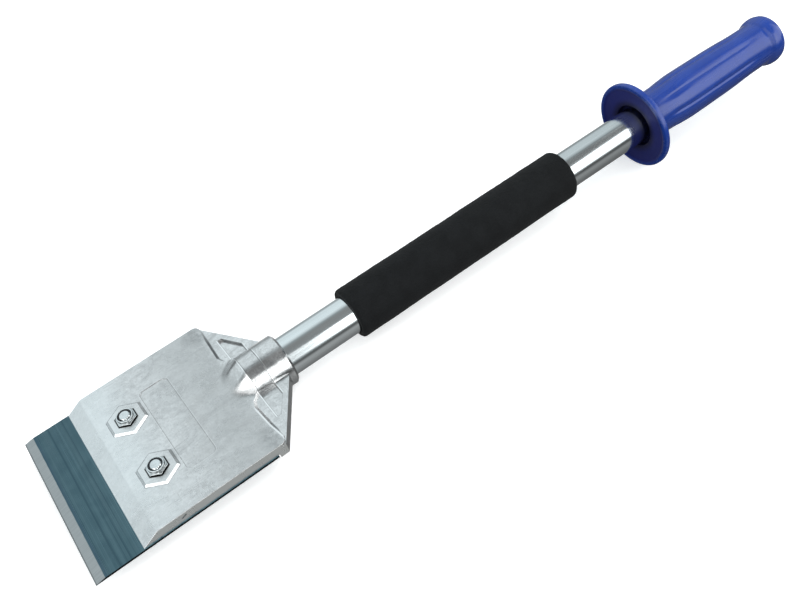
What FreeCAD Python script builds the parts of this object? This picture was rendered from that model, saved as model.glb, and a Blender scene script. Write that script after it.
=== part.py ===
import FreeCAD, Part
import math
import os
import Sketcher
from FreeCAD import Vector, Placement, Rotation

# Long-handled blade scraper: a flat steel blade clamped under a die-cast head by two
# countersunk screws and captive nuts, on a round steel tube with a foam sleeve and a
# moulded hand grip.
# Frame: millimetres. The origin is the centre of the blade's flat underside, midway between
# the two clamp screws. +X points along the handle, the cutting edge is on the -X side,
# +Z is the upper (nut) side.

doc = FreeCAD.newDocument("blade_scraper")
sheet = doc.addObject("Spreadsheet::Sheet", "dims")

CELLS = [
    # blade
    ("blade_wide", 100.0), ("blade_long", 99.0), ("blade_thick", 1.2),
    ("bevel_long", 5.1), ("edge_land", 0.15),
    ("slot_end_x", 0.0), ("screw_pitch", 38.0),
    ("slot_r_low", 5.95), ("slot_r_top", 4.75),
    # head plate
    ("head_wide", 99.0), ("head_front_x", -24.0), ("nose_thick", 0.35),
    ("slope_end_x", -14.8), ("plate_top", 7.0),
    ("step_side_x", 56.4), ("step_side_y", 45.8),
    ("plate_side_x", 55.4), ("plate_corner_r", 3.0), ("plate_edge_r", 0.2),
    ("slope_blend_r", 3.0),
    # rear web
    ("web_top", 5.4), ("web_low", -1.4), ("web_front_x", 50.3), ("web_shoulder_x", 55.05),
    ("web_rear_x", 78.0), ("web_rear_y", 14.5), ("web_corner_r", 4.0), ("web_edge_r", 0.8),
    ("web_pocket_x0", 60.2), ("web_pocket_x1", 69.3), ("web_pocket_y0", 13.8),
    ("web_pocket_y1", 32.8), ("web_pocket_y2", 21.9), ("web_pocket_cut", 62.4),
    ("web_pocket_deep", 1.6),
    ("under_x0", 53.3), ("under_x1", 55.4), ("under_x2", 73.8), ("under_y0", 16.5),
    ("under_y1", 44.5), ("under_top", 2.4),
    # tube socket
    ("axis_z", 1.4), ("socket_r", 14.5), ("socket_end_x", 82.5), ("socket_bore_r", 11.04),
    ("socket_bore_x", 58.0), ("socket_start_x", 59.9), ("ramp_foot_x", 46.5),
    ("ramp_foot_w", 11.5), ("ramp_foot_r", 24.25), ("ramp_end_x", 60.0), ("ramp_end_w", 14.265),
    ("ramp_base_z", 4.0), ("ramp_blend_r", 8.0),
    ("band_deep", 0.3), ("socket_edge_r", 1.2),
    ("step_wing_x", 54.9), ("wing_y", 36.0), ("step_mid_x", 53.9), ("step_mid_y", 21.0),
    ("step_in_x", 55.2), ("step_in_y", 17.4), ("step_end_x", 60.6), ("step_end_y", 12.6),
    ("riser_run", 1.5),
    # hexagonal pads and clamp hardware
    ("pad_af_low", 19.3), ("pad_af_top", 17.2), ("pad_high", 1.3),
    ("nut_pocket_af", 10.7), ("nut_pocket_floor", 5.4), ("screw_hole_r", 3.3),
    ("nut_af", 10.0), ("nut_hex_high", 4.2), ("nut_high", 5.7), ("nut_bore_r", 3.05),
    ("nut_collar_r", 4.5), ("nut_lip_r", 3.75), ("insert_r", 4.0), ("insert_z0", 4.5),
    ("insert_z1", 5.4), ("insert_bore_r", 3.03),
    ("screw_r", 3.0), ("screw_long", 11.2), ("screw_head_r", 5.5), ("screw_head_z", 0.1),
    ("sink_r", 5.95), ("hex_key_af", 4.0), ("hex_key_deep", 2.2), ("screw_tip", 0.5),
    # label panel and the small slot in the side walls
    ("panel_x0", 11.3), ("panel_x1", 27.4), ("panel_y", 30.1), ("panel_cut", 2.2),
    ("panel_deep", 0.3),
    ("drain_x", -2.85), ("drain_z", 3.4), ("drain_long", 3.0), ("drain_high", 0.9),
    ("drain_deep", 1.6), ("drain_tilt", 24.0),
    # hollow underside of the plate
    ("rib_top", 4.3),
    # handle tube
    ("tube_r", 11.0), ("tube_bore_r", 9.5), ("tube_start_x", 58.2), ("tube_end_x", 444.5),
    # foam sleeve
    ("foam_r", 15.0), ("foam_bore_r", 11.04), ("foam_start_x", 124.0), ("foam_end_x", 276.0),
    ("foam_round", 2.5),
    # hand grip
    ("grip_face_x", 333.3), ("guard_r", 27.0), ("guard_thick", 3.8), ("guard_hole_r", 13.3),
    ("guard_hole_deep", 5.0), ("grip_bore_r", 11.04), ("grip_neck_r", 13.9),
    ("grip_palm_r", 15.2), ("grip_waist_r", 13.7), ("grip_flare_r", 16.0),
    ("grip_end_x", 450.5), ("grip_stop_x", 445.0),
    # screw through the socket's underside into the tube
    ("pin_x", 70.0), ("pin_r", 2.3), ("pin_head_r", 4.6), ("pin_head_high", 2.6),
    ("pin_seat_z", -12.3), ("pin_top_z", -4.5),
]


class E:
    """A number together with the spreadsheet expression that gives it."""

    def __init__(self, val, txt):
        self.val = float(val)
        self.txt = txt

    def __add__(self, o):
        o = lift(o)
        return E(self.val + o.val, "(%s + %s)" % (self.txt, o.txt))

    def __radd__(self, o):
        return lift(o) + self

    def __sub__(self, o):
        o = lift(o)
        return E(self.val - o.val, "(%s - %s)" % (self.txt, o.txt))

    def __rsub__(self, o):
        return lift(o) - self

    def __mul__(self, o):
        o = lift(o)
        return E(self.val * o.val, "(%s * %s)" % (self.txt, o.txt))

    def __rmul__(self, o):
        return lift(o) * self

    def __truediv__(self, o):
        o = lift(o)
        return E(self.val / o.val, "(%s / %s)" % (self.txt, o.txt))

    def __neg__(self):
        return E(-self.val, "(-1 * %s)" % self.txt)


def lift(v):
    return v if isinstance(v, E) else E(v, "%.6f" % v)


D = {}
for i, (name, value) in enumerate(CELLS):
    cell = "B%d" % (i + 1)
    sheet.set("A%d" % (i + 1), name)
    sheet.set(cell, "%g" % value)
    sheet.setAlias(cell, name)
    D[name] = E(value, "dims.%s" % name)
doc.recompute()


def bind(obj, prop, e):
    e = lift(e)
    if "." not in prop:
        setattr(obj, prop, e.val)
    obj.setExpression(prop, e.txt)


def plane(body, role):
    for f in body.Origin.OriginFeatures:
        if f.Role == role:
            return f
    raise RuntimeError("no plane " + role)


def new_body(name):
    b = doc.addObject("PartDesign::Body", name)
    b.Label = name
    return b


def new_sketch(body, name, role, offset=None):
    sk = body.newObject("Sketcher::SketchObject", name)
    sk.AttachmentSupport = [(plane(body, role), "")]
    sk.MapMode = "FlatFace"
    if offset is not None:
        offset = lift(offset)
        sk.AttachmentOffset = Placement(Vector(0, 0, offset.val), Rotation())
        sk.setExpression("AttachmentOffset.Base.z", offset.txt)
    return sk


def polygon(sk, pts):
    """Closed polygon whose corners are held from the sketch origin by the sheet."""
    first = sk.GeometryCount
    n = len(pts)
    pts = [(lift(a), lift(b)) for a, b in pts]
    for k in range(n):
        a, b = pts[k], pts[(k + 1) % n]
        sk.addGeometry(Part.LineSegment(Vector(a[0].val, a[1].val, 0),
                                        Vector(b[0].val, b[1].val, 0)), False)
    for k in range(n):
        sk.addConstraint(Sketcher.Constraint("Coincident", first + k, 2,
                                             first + (k + 1) % n, 1))
    for k in range(n):
        for kind, e in (("DistanceX", pts[k][0]), ("DistanceY", pts[k][1])):
            if abs(e.val) < 1e-9 and e.txt == "0.000000":
                other = -2 if kind == "DistanceX" else -1
                sk.addConstraint(Sketcher.Constraint("PointOnObject", first + k, 1, other))
                continue
            c = sk.addConstraint(Sketcher.Constraint(kind, -1, 1, first + k, 1, e.val))
            if "dims." in e.txt:
                sk.setExpression("Constraints[%d]" % c, e.txt)
    return sk


def outline(sk, pts, arcs):
    """Closed outline like polygon's, with clockwise arcs: arcs maps a side's number to its radius."""
    first = sk.GeometryCount
    n = len(pts)
    pts = [(lift(a), lift(b)) for a, b in pts]
    for k in range(n):
        a, b = [Vector(q[0].val, q[1].val, 0) for q in (pts[k], pts[(k + 1) % n])]
        if k in arcs:
            r = lift(arcs[k]).val
            mid, half = (a + b) * 0.5, (b - a).Length / 2
            side = Vector(b.y - a.y, a.x - b.x, 0).normalize()
            centre = mid + side * math.sqrt(r * r - half * half)
            ring = Part.Circle(centre, Vector(0, 0, 1), r)
            a0 = math.atan2(b.y - centre.y, b.x - centre.x)
            a1 = math.atan2(a.y - centre.y, a.x - centre.x)
            sk.addGeometry(Part.ArcOfCircle(ring, a0, a1 if a1 > a0 else a1 + 2 * math.pi), False)
        else:
            sk.addGeometry(Part.LineSegment(a, b), False)
    for k in range(n):
        q = (k + 1) % n
        sk.addConstraint(Sketcher.Constraint("Coincident", first + k, 1 if k in arcs else 2,
                                             first + q, 2 if q in arcs else 1))
    for k in range(n):
        for kind, e in (("DistanceX", pts[k][0]), ("DistanceY", pts[k][1])):
            c = sk.addConstraint(Sketcher.Constraint(kind, -1, 1, first + k, 2 if k in arcs else 1,
                                                     e.val))
            if "dims." in e.txt:
                sk.setExpression("Constraints[%d]" % c, e.txt)
    for k in arcs:
        e = lift(arcs[k])
        c = sk.addConstraint(Sketcher.Constraint("Radius", first + k, e.val))
        sk.setExpression("Constraints[%d]" % c, e.txt)
    return sk


def circle(sk, x, y, r):
    x, y, r = lift(x), lift(y), lift(r)
    g = sk.addGeometry(Part.Circle(Vector(x.val, y.val, 0), Vector(0, 0, 1), r.val), False)
    c = sk.addConstraint(Sketcher.Constraint("Radius", g, r.val))
    sk.setExpression("Constraints[%d]" % c, r.txt)
    for kind, e in (("DistanceX", x), ("DistanceY", y)):
        if abs(e.val) < 1e-9 and e.txt == "0.000000":
            other = -2 if kind == "DistanceX" else -1
            sk.addConstraint(Sketcher.Constraint("PointOnObject", g, 3, other))
        else:
            c = sk.addConstraint(Sketcher.Constraint(kind, -1, 1, g, 3, e.val))
            sk.setExpression("Constraints[%d]" % c, e.txt)
    return sk


def hexagon(sk, cx, cy, af):
    """Regular hexagon with two flats across X; af is the size across flats."""
    cx, cy, af = lift(cx), lift(cy), lift(af)
    half = af / 2
    k = af * (0.5 / math.sqrt(3.0))
    return polygon(sk, [(cx - half, cy + k), (cx - half, cy - k), (cx, cy - k * 2),
                        (cx + half, cy - k), (cx + half, cy + k), (cx, cy + k * 2)])


def pad(body, sk, name, length, midplane=False, reverse=False):
    f = body.newObject("PartDesign::Pad", name)
    f.Profile = (sk, [""])
    bind(f, "Length", length)
    f.Midplane = midplane
    f.Reversed = reverse
    doc.recompute()
    return f


def pocket(body, sk, name, length=None, midplane=False, reverse=False):
    before = body.Shape.Volume
    f = body.newObject("PartDesign::Pocket", name)
    f.Profile = (sk, [""])
    if length is None:
        f.Type = 1
    else:
        f.Type = 0
        bind(f, "Length", length)
    f.Midplane = midplane
    f.Reversed = reverse
    doc.recompute()
    if not body.Shape.Volume < before - 1e-3:
        raise RuntimeError("%s cuts nothing" % name)
    return f


def revolve(body, sk, name):
    f = body.newObject("PartDesign::Revolution", name)
    f.Profile = (sk, [""])
    f.ReferenceAxis = (sk, ["H_Axis"])
    f.Angle = 360.0
    doc.recompute()
    return f


def edges_where(shape, test):
    return ["Edge%d" % (i + 1) for i, e in enumerate(shape.Edges) if test(e)]


def fillet(body, base, name, radius, test, expect=None):
    names = edges_where(base.Shape, test)
    if not names:
        raise RuntimeError("%s finds no edges" % name)
    if expect is not None and len(names) != expect:
        raise RuntimeError("%s finds %d edges" % (name, len(names)))
    f = body.newObject("PartDesign::Fillet", name)
    f.Base = (base, names)
    bind(f, "Radius", radius)
    doc.recompute()
    return f


def near(a, b, tol=0.02):
    return abs(a - b) < tol


def box_tool(name, x0, x1, y0, y1, z0, z1):
    b = doc.addObject("Part::Box", name)
    bind(b, "Length", x1 - x0)
    bind(b, "Width", y1 - y0)
    bind(b, "Height", z1 - z0)
    b.Placement = Placement(Vector(lift(x0).val, lift(y0).val, lift(z0).val), Rotation())
    for ax, e in (("x", x0), ("y", y0), ("z", z0)):
        b.setExpression("Placement.Base." + ax, lift(e).txt)
    return b


def cyl_tool(name, r, length, x, y, z, rot=None):
    c = doc.addObject("Part::Cylinder", name)
    bind(c, "Radius", r)
    bind(c, "Height", length)
    c.Placement = Placement(Vector(lift(x).val, lift(y).val, lift(z).val), rot or Rotation())
    for ax, e in (("x", x), ("y", y), ("z", z)):
        c.setExpression("Placement.Base." + ax, lift(e).txt)
    return c


def cone_tool(name, r1, r2, length, x, y, z):
    c = doc.addObject("Part::Cone", name)
    bind(c, "Radius1", r1)
    bind(c, "Radius2", r2)
    bind(c, "Height", length)
    c.Placement = Placement(Vector(lift(x).val, lift(y).val, lift(z).val), Rotation())
    for ax, e in (("x", x), ("y", y), ("z", z)):
        c.setExpression("Placement.Base." + ax, lift(e).txt)
    return c


ALONG_X = Rotation(Vector(0, 1, 0), 90)
FINAL = []


def final(obj, label):
    obj.Label = label
    FINAL.append(obj)
    return obj


def cut_all(base, tools, name):
    """Cuts a compound of tools from the base."""
    if len(tools) > 1:
        fuse = doc.addObject("Part::Compound", name + "_tools")
        fuse.Links = tools
    else:
        fuse = tools[0]
    c = doc.addObject("Part::Cut", name)
    c.Base = base
    c.Tool = fuse
    doc.recompute()
    return c


half_pitch = D["screw_pitch"] / 2

# ------------------------------------------------------------------ blade
# Sheet with a ground bevel on its upper face and two tapered slots, open at the back, so that
# it draws forward from under the head once the two screws are slackened.
blade_body = new_body("blade_sheet")
sk = new_sketch(blade_body, "blade_section", "XZ_Plane")
hl = D["blade_long"] / 2
polygon(sk, [(-hl, 0), (hl, 0), (hl, D["blade_thick"]),
             (-hl + D["bevel_long"], D["blade_thick"]), (-hl, D["edge_land"])])
pad(blade_body, sk, "blade_pad", D["blade_wide"], midplane=True)
tools = []
for side, sy in (("left", 1), ("right", -1)):
    cy = half_pitch * sy
    tools.append(cone_tool("slot_seat_" + side, D["slot_r_low"], D["slot_r_top"],
                           D["blade_thick"], D["slot_end_x"], cy, 0))
    w = doc.addObject("Part::Wedge", "slot_run_" + side)
    # the wedge's own Y runs up the sheet, its own X across the slot, its own Z along it
    w.Xmin, w.Xmax, w.Ymin, w.Ymax, w.Zmin, w.Zmax = -1, 1, 0, 1, 0, 1
    w.X2min, w.X2max, w.Z2min, w.Z2max = -0.5, 0.5, 0, 1
    bind(w, "Xmax", D["slot_r_low"])
    bind(w, "Xmin", -D["slot_r_low"])
    bind(w, "X2max", D["slot_r_top"])
    bind(w, "X2min", -D["slot_r_top"])
    bind(w, "Ymax", D["blade_thick"])
    bind(w, "Zmax", hl - D["slot_end_x"] + 1)
    bind(w, "Z2max", hl - D["slot_end_x"] + 1)
    # own axes (X, Y, Z) turned to row axes (+Y, +Z, +X)
    w.Placement = Placement(Vector(D["slot_end_x"].val, cy.val, 0),
                            Rotation(Vector(0, 1, 0), Vector(0, 0, 1), Vector(1, 0, 0), "XYZ"))
    w.setExpression("Placement.Base.x", D["slot_end_x"].txt)
    w.setExpression("Placement.Base.y", cy.txt)
    tools.append(w)
fused = doc.addObject("Part::MultiFuse", "slots")
fused.Shapes = tools
doc.recompute()
blade = final(cut_all(blade_body, [fused], "blade_cut"), "blade")

# ------------------------------------------------------------------ head casting
head = new_body("head_form")
hw = D["head_wide"] / 2

# plate, left long at the back until the ramp is blended into it
sk = new_sketch(head, "plate_outline", "XY_Plane", D["blade_thick"])
plate_rear_x = D["web_pocket_x0"] - 0.3
polygon(sk, [(D["head_front_x"], -hw), (D["plate_side_x"], -hw),
             (D["step_side_x"], -D["step_side_y"]), (plate_rear_x, -D["step_side_y"] + 2),
             (plate_rear_x, D["step_side_y"] - 2), (D["step_side_x"], D["step_side_y"]),
             (D["plate_side_x"], hw), (D["head_front_x"], hw)])
plate = pad(head, sk, "plate", D["plate_top"] - D["blade_thick"])
plate_round = fillet(head, plate, "plate_corners", D["plate_corner_r"],
                     lambda e: near(e.BoundBox.XLength, 0) and near(e.BoundBox.YLength, 0)
                     and near(e.CenterOfMass.x, D["plate_side_x"].val), 2)
sk = new_sketch(head, "nose_section", "XZ_Plane")
nose_z = D["blade_thick"] + D["nose_thick"]
polygon(sk, [(D["head_front_x"] - 1, nose_z - (D["plate_top"] - nose_z)
              / (D["slope_end_x"] - D["head_front_x"])),
             (D["slope_end_x"], D["plate_top"]), (D["slope_end_x"], D["plate_top"] + 2),
             (D["head_front_x"] - 1, D["plate_top"] + 2)])
nose = pocket(head, sk, "nose_slope", D["head_wide"] + 4, midplane=True)
nose_round = fillet(head, nose, "nose_blend", D["slope_blend_r"],
                    lambda e: near(e.BoundBox.YLength, D["head_wide"].val)
                    and near(e.CenterOfMass.z, D["plate_top"].val)
                    and near(e.CenterOfMass.x, D["slope_end_x"].val), 1)
top_round = fillet(head, nose_round, "plate_edges", D["plate_edge_r"],
                   lambda e: abs(abs(e.CenterOfMass.y) - hw.val) < 0.02
                   and e.BoundBox.XLength > 20 and near(e.CenterOfMass.z, D["plate_top"].val), 2)

# ramp and tube socket: a body of revolution about the tube's axis
az = D["axis_z"]
sr = D["socket_r"]


def ramp_loft(name):
    """Low wide arc at the foot growing into the socket's own circle."""
    foot = new_sketch(head, name + "_foot", "YZ_Plane", D["ramp_foot_x"])
    outline(foot, [(-D["ramp_foot_w"], D["ramp_base_z"]), (D["ramp_foot_w"], D["ramp_base_z"])],
            {0: D["ramp_foot_r"]})
    end = new_sketch(head, name + "_end", "YZ_Plane", D["ramp_end_x"])
    outline(end, [(-D["ramp_end_w"], D["ramp_base_z"]), (D["ramp_end_w"], D["ramp_base_z"])],
            {0: D["socket_r"]})
    f = head.newObject("PartDesign::AdditiveLoft", name)
    f.Profile = (foot, [""])
    f.Sections = [(end, [""])]
    f.Ruled = True
    doc.recompute()
    return f


def socket_form(name):
    sk = new_sketch(head, name + "_section", "XZ_Plane")
    polygon(sk, [(D["socket_start_x"], az), (D["socket_start_x"], az + sr),
                 (D["web_pocket_x0"], az + sr),
                 (D["web_pocket_x0"] + 0.2, az + sr - D["band_deep"]),
                 (D["web_pocket_x1"] - 0.2, az + sr - D["band_deep"]),
                 (D["web_pocket_x1"], az + sr),
                 (D["socket_end_x"] - D["socket_edge_r"], az + sr),
                 (D["socket_end_x"], az + sr - D["socket_edge_r"]),
                 (D["socket_end_x"], az)])
    line = sk.addGeometry(Part.LineSegment(Vector(0, az.val, 0), Vector(100, az.val, 0)), True)
    sk.addConstraint(Sketcher.Constraint("Horizontal", line))
    c = sk.addConstraint(Sketcher.Constraint("DistanceY", -1, 1, line, 1, az.val))
    sk.setExpression("Constraints[%d]" % c, az.txt)
    f = head.newObject("PartDesign::Revolution", name)
    f.Profile = (sk, [""])
    f.ReferenceAxis = (sk, ["Axis0"])
    f.Angle = 360.0
    doc.recompute()
    return f


sock = ramp_loft("ramp_form")
blend = fillet(head, sock, "ramp_blend", D["ramp_blend_r"],
               lambda e: near(e.BoundBox.ZMin, D["plate_top"].val)
               and near(e.BoundBox.ZMax, D["plate_top"].val)
               and abs(e.CenterOfMass.y) < D["socket_r"].val
               and D["ramp_foot_x"].val - 1 < e.BoundBox.XMin
               and e.BoundBox.XMax < plate_rear_x.val + 0.1
               and not (near(e.BoundBox.XLength, 0)))

# the plate steps down to the web behind this line
step_line = [(D["step_side_x"], D["step_side_y"]), (D["step_wing_x"], D["wing_y"]),
             (D["step_mid_x"], D["step_mid_y"]), (D["step_in_x"], D["step_in_y"]),
             (D["step_end_x"], D["step_end_y"])]
sk = new_sketch(head, "step_outline", "XY_Plane", D["plate_top"] + 20)
polygon(sk, [(x, -y) for x, y in step_line] + step_line[::-1]
        + [(plate_rear_x + 2, D["step_side_y"]), (plate_rear_x + 2, -D["step_side_y"])])
pocket(head, sk, "step", D["plate_top"] + 20 - D["blade_thick"] + 1)

# web behind the plate, with its lip behind the blade
sk = new_sketch(head, "web_outline", "XY_Plane", D["web_low"])
polygon(sk, [(D["web_front_x"], -hw), (D["web_shoulder_x"], -hw),
             (D["web_rear_x"], -D["web_rear_y"]), (D["web_rear_x"], D["web_rear_y"]),
             (D["web_shoulder_x"], hw), (D["web_front_x"], hw)])
web = pad(head, sk, "web", D["web_top"] - D["web_low"])

# sloping riser from the web up to the plate
low = new_sketch(head, "riser_foot", "XY_Plane", D["web_top"] - 0.01)
rin, run = D["step_mid_x"] - 4, D["riser_run"]
foot_line = [(D["step_side_x"] + 0.4, D["step_side_y"] - 0.3)] + [(x + run, y) for x, y in step_line[1:]]
head_line = [(D["step_side_x"] - 0.05, D["step_side_y"] - 0.3)] + [(x, y) for x, y in step_line[1:]]
polygon(low, [(rin, -D["step_side_y"] + 0.3)] + [(x, -y) for x, y in foot_line] + foot_line[::-1]
        + [(rin, D["step_side_y"] - 0.3)])
top = new_sketch(head, "riser_head", "XY_Plane", D["plate_top"])
polygon(top, [(rin, -D["step_side_y"] + 0.3)] + [(x, -y) for x, y in head_line] + head_line[::-1]
        + [(rin, D["step_side_y"] - 0.3)])
loft = head.newObject("PartDesign::AdditiveLoft", "riser")
loft.Profile = (low, [""])
loft.Sections = [(top, [""])]
loft.Ruled = True
doc.recompute()

# the ramp again, over the step, and the socket behind it
ramp_loft("ramp")
socket_form("socket")

# raised hexagonal pads
for side, sy in (("left", 1), ("right", -1)):
    a = new_sketch(head, "pad_low_" + side, "XY_Plane", D["plate_top"])
    hexagon(a, 0, half_pitch * sy, D["pad_af_low"])
    b = new_sketch(head, "pad_top_" + side, "XY_Plane", D["plate_top"] + D["pad_high"])
    hexagon(b, 0, half_pitch * sy, D["pad_af_top"])
    loft = head.newObject("PartDesign::AdditiveLoft", "pad_" + side)
    loft.Profile = (a, [""])
    loft.Sections = [(b, [""])]
    loft.Ruled = True
    doc.recompute()

# label panel, left blank
sk = new_sketch(head, "panel_outline", "XY_Plane", D["plate_top"])
px0, px1, py, pc = D["panel_x0"], D["panel_x1"], D["panel_y"], D["panel_cut"]
polygon(sk, [(px0 + pc, -py), (px1 - pc, -py), (px1, -py + pc), (px1, py - pc),
             (px1 - pc, py), (px0 + pc, py), (px0, py - pc), (px0, -py + pc)])
pocket(head, sk, "label_panel", D["panel_deep"])

# nut pockets
for side, sy in (("left", 1), ("right", -1)):
    sk = new_sketch(head, "nut_pocket_" + side, "XY_Plane", D["plate_top"] + D["pad_high"])
    hexagon(sk, 0, half_pitch * sy, D["nut_pocket_af"])
    pocket(head, sk, "nut_seat_" + side, D["plate_top"] + D["pad_high"] - D["nut_pocket_floor"])

# shallow windows in the web, each side of the socket
for side, sy in (("left", 1), ("right", -1)):
    sk = new_sketch(head, "web_window_" + side, "XY_Plane", D["web_top"] + 3)
    pts = [(D["web_pocket_x0"], D["web_pocket_y0"] * sy), (D["web_pocket_x1"], D["web_pocket_y0"] * sy),
           (D["web_pocket_x1"], D["web_pocket_y2"] * sy),
           (D["web_pocket_cut"], D["web_pocket_y1"] * sy),
           (D["web_pocket_x0"], D["web_pocket_y1"] * sy)]
    polygon(sk, pts)
    pocket(head, sk, "web_recess_" + side, D["web_pocket_deep"] + 3)

# hollow underside of the web
for side, sy in (("left", 1), ("right", -1)):
    sk = new_sketch(head, "web_hollow_" + side, "XY_Plane", D["under_top"])
    polygon(sk, [(D["under_x0"], D["under_y0"] * sy), (D["under_x0"], D["under_y1"] * sy),
                 (D["under_x1"], D["under_y1"] * sy), (D["under_x2"], D["under_y0"] * sy)])
    pocket(head, sk, "web_cored_" + side, D["under_top"] - D["web_low"] + 1)

tools = [cyl_tool("tube_socket_bore", D["socket_bore_r"], D["socket_end_x"] - D["socket_bore_x"] + 1,
                  D["socket_bore_x"], 0, az, ALONG_X),
         cyl_tool("fixing_hole", D["pin_r"] + 0.05, 12, D["pin_x"], 0, D["pin_seat_z"] - 6),
         cyl_tool("fixing_spotface", D["pin_head_r"] + 0.5, 6, D["pin_x"], 0, D["pin_seat_z"] - 6)]
for side, sy in (("left", 1), ("right", -1)):
    cy = half_pitch * sy
    tools.append(cyl_tool("clamp_hole_" + side, D["screw_hole_r"], 12, 0, cy, 0))
    # countersink: 90 degrees, wide end on the blade's underside plane
    tools.append(cone_tool("clamp_sink_" + side, D["sink_r"], D["sink_r"] - 3.0, 3.0, 0, cy, 0))
    # hollow underside of the plate, leaving the columns round the screws
    tools.append(box_tool("core_side_" + side, lift(-11.0), lift(43.0),
                          lift(30.0) if sy > 0 else lift(-46.0),
                          lift(46.0) if sy > 0 else lift(-30.0), lift(0.0), D["rib_top"]))
    tools.append(box_tool("core_rear_" + side, lift(13.0), lift(43.0),
                          lift(9.5) if sy > 0 else lift(-27.5),
                          lift(27.5) if sy > 0 else lift(-9.5), lift(0.0), D["rib_top"]))
    slot = doc.addObject("Part::Box", "drain_" + side)
    bind(slot, "Length", D["drain_long"])
    bind(slot, "Width", D["drain_deep"] * 2)
    bind(slot, "Height", D["drain_high"])
    slot.Placement = Placement(Vector(D["drain_x"].val, sy * hw.val - D["drain_deep"].val,
                                      D["drain_z"].val), Rotation(Vector(0, 1, 0), -D["drain_tilt"].val))
    slot.setExpression("Placement.Base.x", D["drain_x"].txt)
    slot.setExpression("Placement.Base.y", (hw * sy - D["drain_deep"]).txt)
    slot.setExpression("Placement.Base.z", D["drain_z"].txt)
    tools.append(slot)
tools.append(box_tool("core_middle", lift(-11.0), lift(26.0), lift(-7.0), lift(7.0), lift(0.0),
                      D["rib_top"]))
fused = doc.addObject("Part::MultiFuse", "head_cuts")
fused.Shapes = tools
doc.recompute()
casting = final(cut_all(head, [fused], "head_cut"), "head_casting")

# ------------------------------------------------------------------ clamp nuts
# Locking nuts: a hexagon with a round collar rolled over a nylon ring.
for side, sy in (("left", 1), ("right", -1)):
    cy = half_pitch * sy
    b = new_body("nut_hex_" + side)
    sk = new_sketch(b, "nut_flats_" + side, "XY_Plane")
    hexagon(sk, 0, 0, D["nut_af"])
    pad(b, sk, "nut_blank_" + side, D["nut_high"])
    t = new_body("nut_turned_" + side)
    sk = new_sketch(t, "nut_section_" + side, "XZ_Plane")
    rb, hh, nh, cr = D["nut_af"] * 0.475, D["nut_hex_high"], D["nut_high"], D["nut_collar_r"]
    polygon(sk, [(rb - 1.25, 0), (rb, 0), (rb + 1.04, 0.6), (rb + 1.04, hh - 0.6), (rb, hh),
                 (cr, hh), (cr, nh - 0.6), (cr - 0.15, nh - 0.2), (cr - 0.5, nh),
                 (D["nut_lip_r"] + 0.12, nh), (D["nut_lip_r"], nh - 0.12),
                 (D["nut_lip_r"], D["insert_z1"]), (D["insert_r"], D["insert_z1"]),
                 (D["insert_r"], D["insert_z0"]), (D["nut_bore_r"], D["insert_z0"]),
                 (D["nut_bore_r"], 0.45)])
    f = t.newObject("PartDesign::Revolution", "nut_turning_" + side)
    f.Profile = (sk, [""])
    f.ReferenceAxis = (sk, ["V_Axis"])
    f.Angle = 360.0
    for q in (b, t):
        q.Placement = Placement(Vector(0, cy.val, D["nut_pocket_floor"].val), Rotation())
        q.setExpression("Placement.Base.y", cy.txt)
        q.setExpression("Placement.Base.z", D["nut_pocket_floor"].txt)
    com = doc.addObject("Part::Common", "nut_" + side)
    com.Base, com.Tool = b, t
    doc.recompute()
    final(com, "blade_nut_" + side)
    # nylon ring held in the collar
    r = new_body("lock_ring_body_" + side)
    sk = new_sketch(r, "lock_ring_section_" + side, "XZ_Plane")
    polygon(sk, [(D["insert_bore_r"], D["insert_z0"] + 0.02), (D["insert_r"] - 0.02, D["insert_z0"] + 0.02),
                 (D["insert_r"] - 0.02, D["insert_z1"] - 0.02),
                 (D["insert_bore_r"], D["insert_z1"] - 0.02)])
    f = r.newObject("PartDesign::Revolution", "lock_ring_turned_" + side)
    f.Profile = (sk, [""])
    f.ReferenceAxis = (sk, ["V_Axis"])
    f.Angle = 360.0
    r.Placement = Placement(Vector(0, cy.val, D["nut_pocket_floor"].val), Rotation())
    r.setExpression("Placement.Base.y", cy.txt)
    r.setExpression("Placement.Base.z", D["nut_pocket_floor"].txt)
    doc.recompute()
    final(r, "lock_ring_" + side)

# ------------------------------------------------------------------ clamp screws
for side, sy in (("left", 1), ("right", -1)):
    b = new_body("screw_body_" + side)
    sk = new_sketch(b, "screw_section_" + side, "XZ_Plane")
    hr, r, z0 = D["screw_head_r"], D["screw_r"], D["screw_head_z"]
    polygon(sk, [(0, z0), (hr, z0), (hr, z0 + 0.25), (r, z0 + 0.25 + hr - r),
                 (r, D["screw_long"] - D["screw_tip"]),
                 (r - D["screw_tip"], D["screw_long"]), (0, D["screw_long"])])
    f = b.newObject("PartDesign::Revolution", "screw_turned_" + side)
    f.Profile = (sk, [""])
    f.ReferenceAxis = (sk, ["V_Axis"])
    f.Angle = 360.0
    doc.recompute()
    sk = new_sketch(b, "screw_key_" + side, "XY_Plane", z0)
    hexagon(sk, 0, 0, D["hex_key_af"])
    pocket(b, sk, "screw_socket_" + side, D["hex_key_deep"], reverse=True)
    b.Placement = Placement(Vector(0, half_pitch.val * sy, 0), Rotation())
    b.setExpression("Placement.Base.y", (half_pitch * sy).txt)
    final(b, "blade_screw_" + side)

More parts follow.
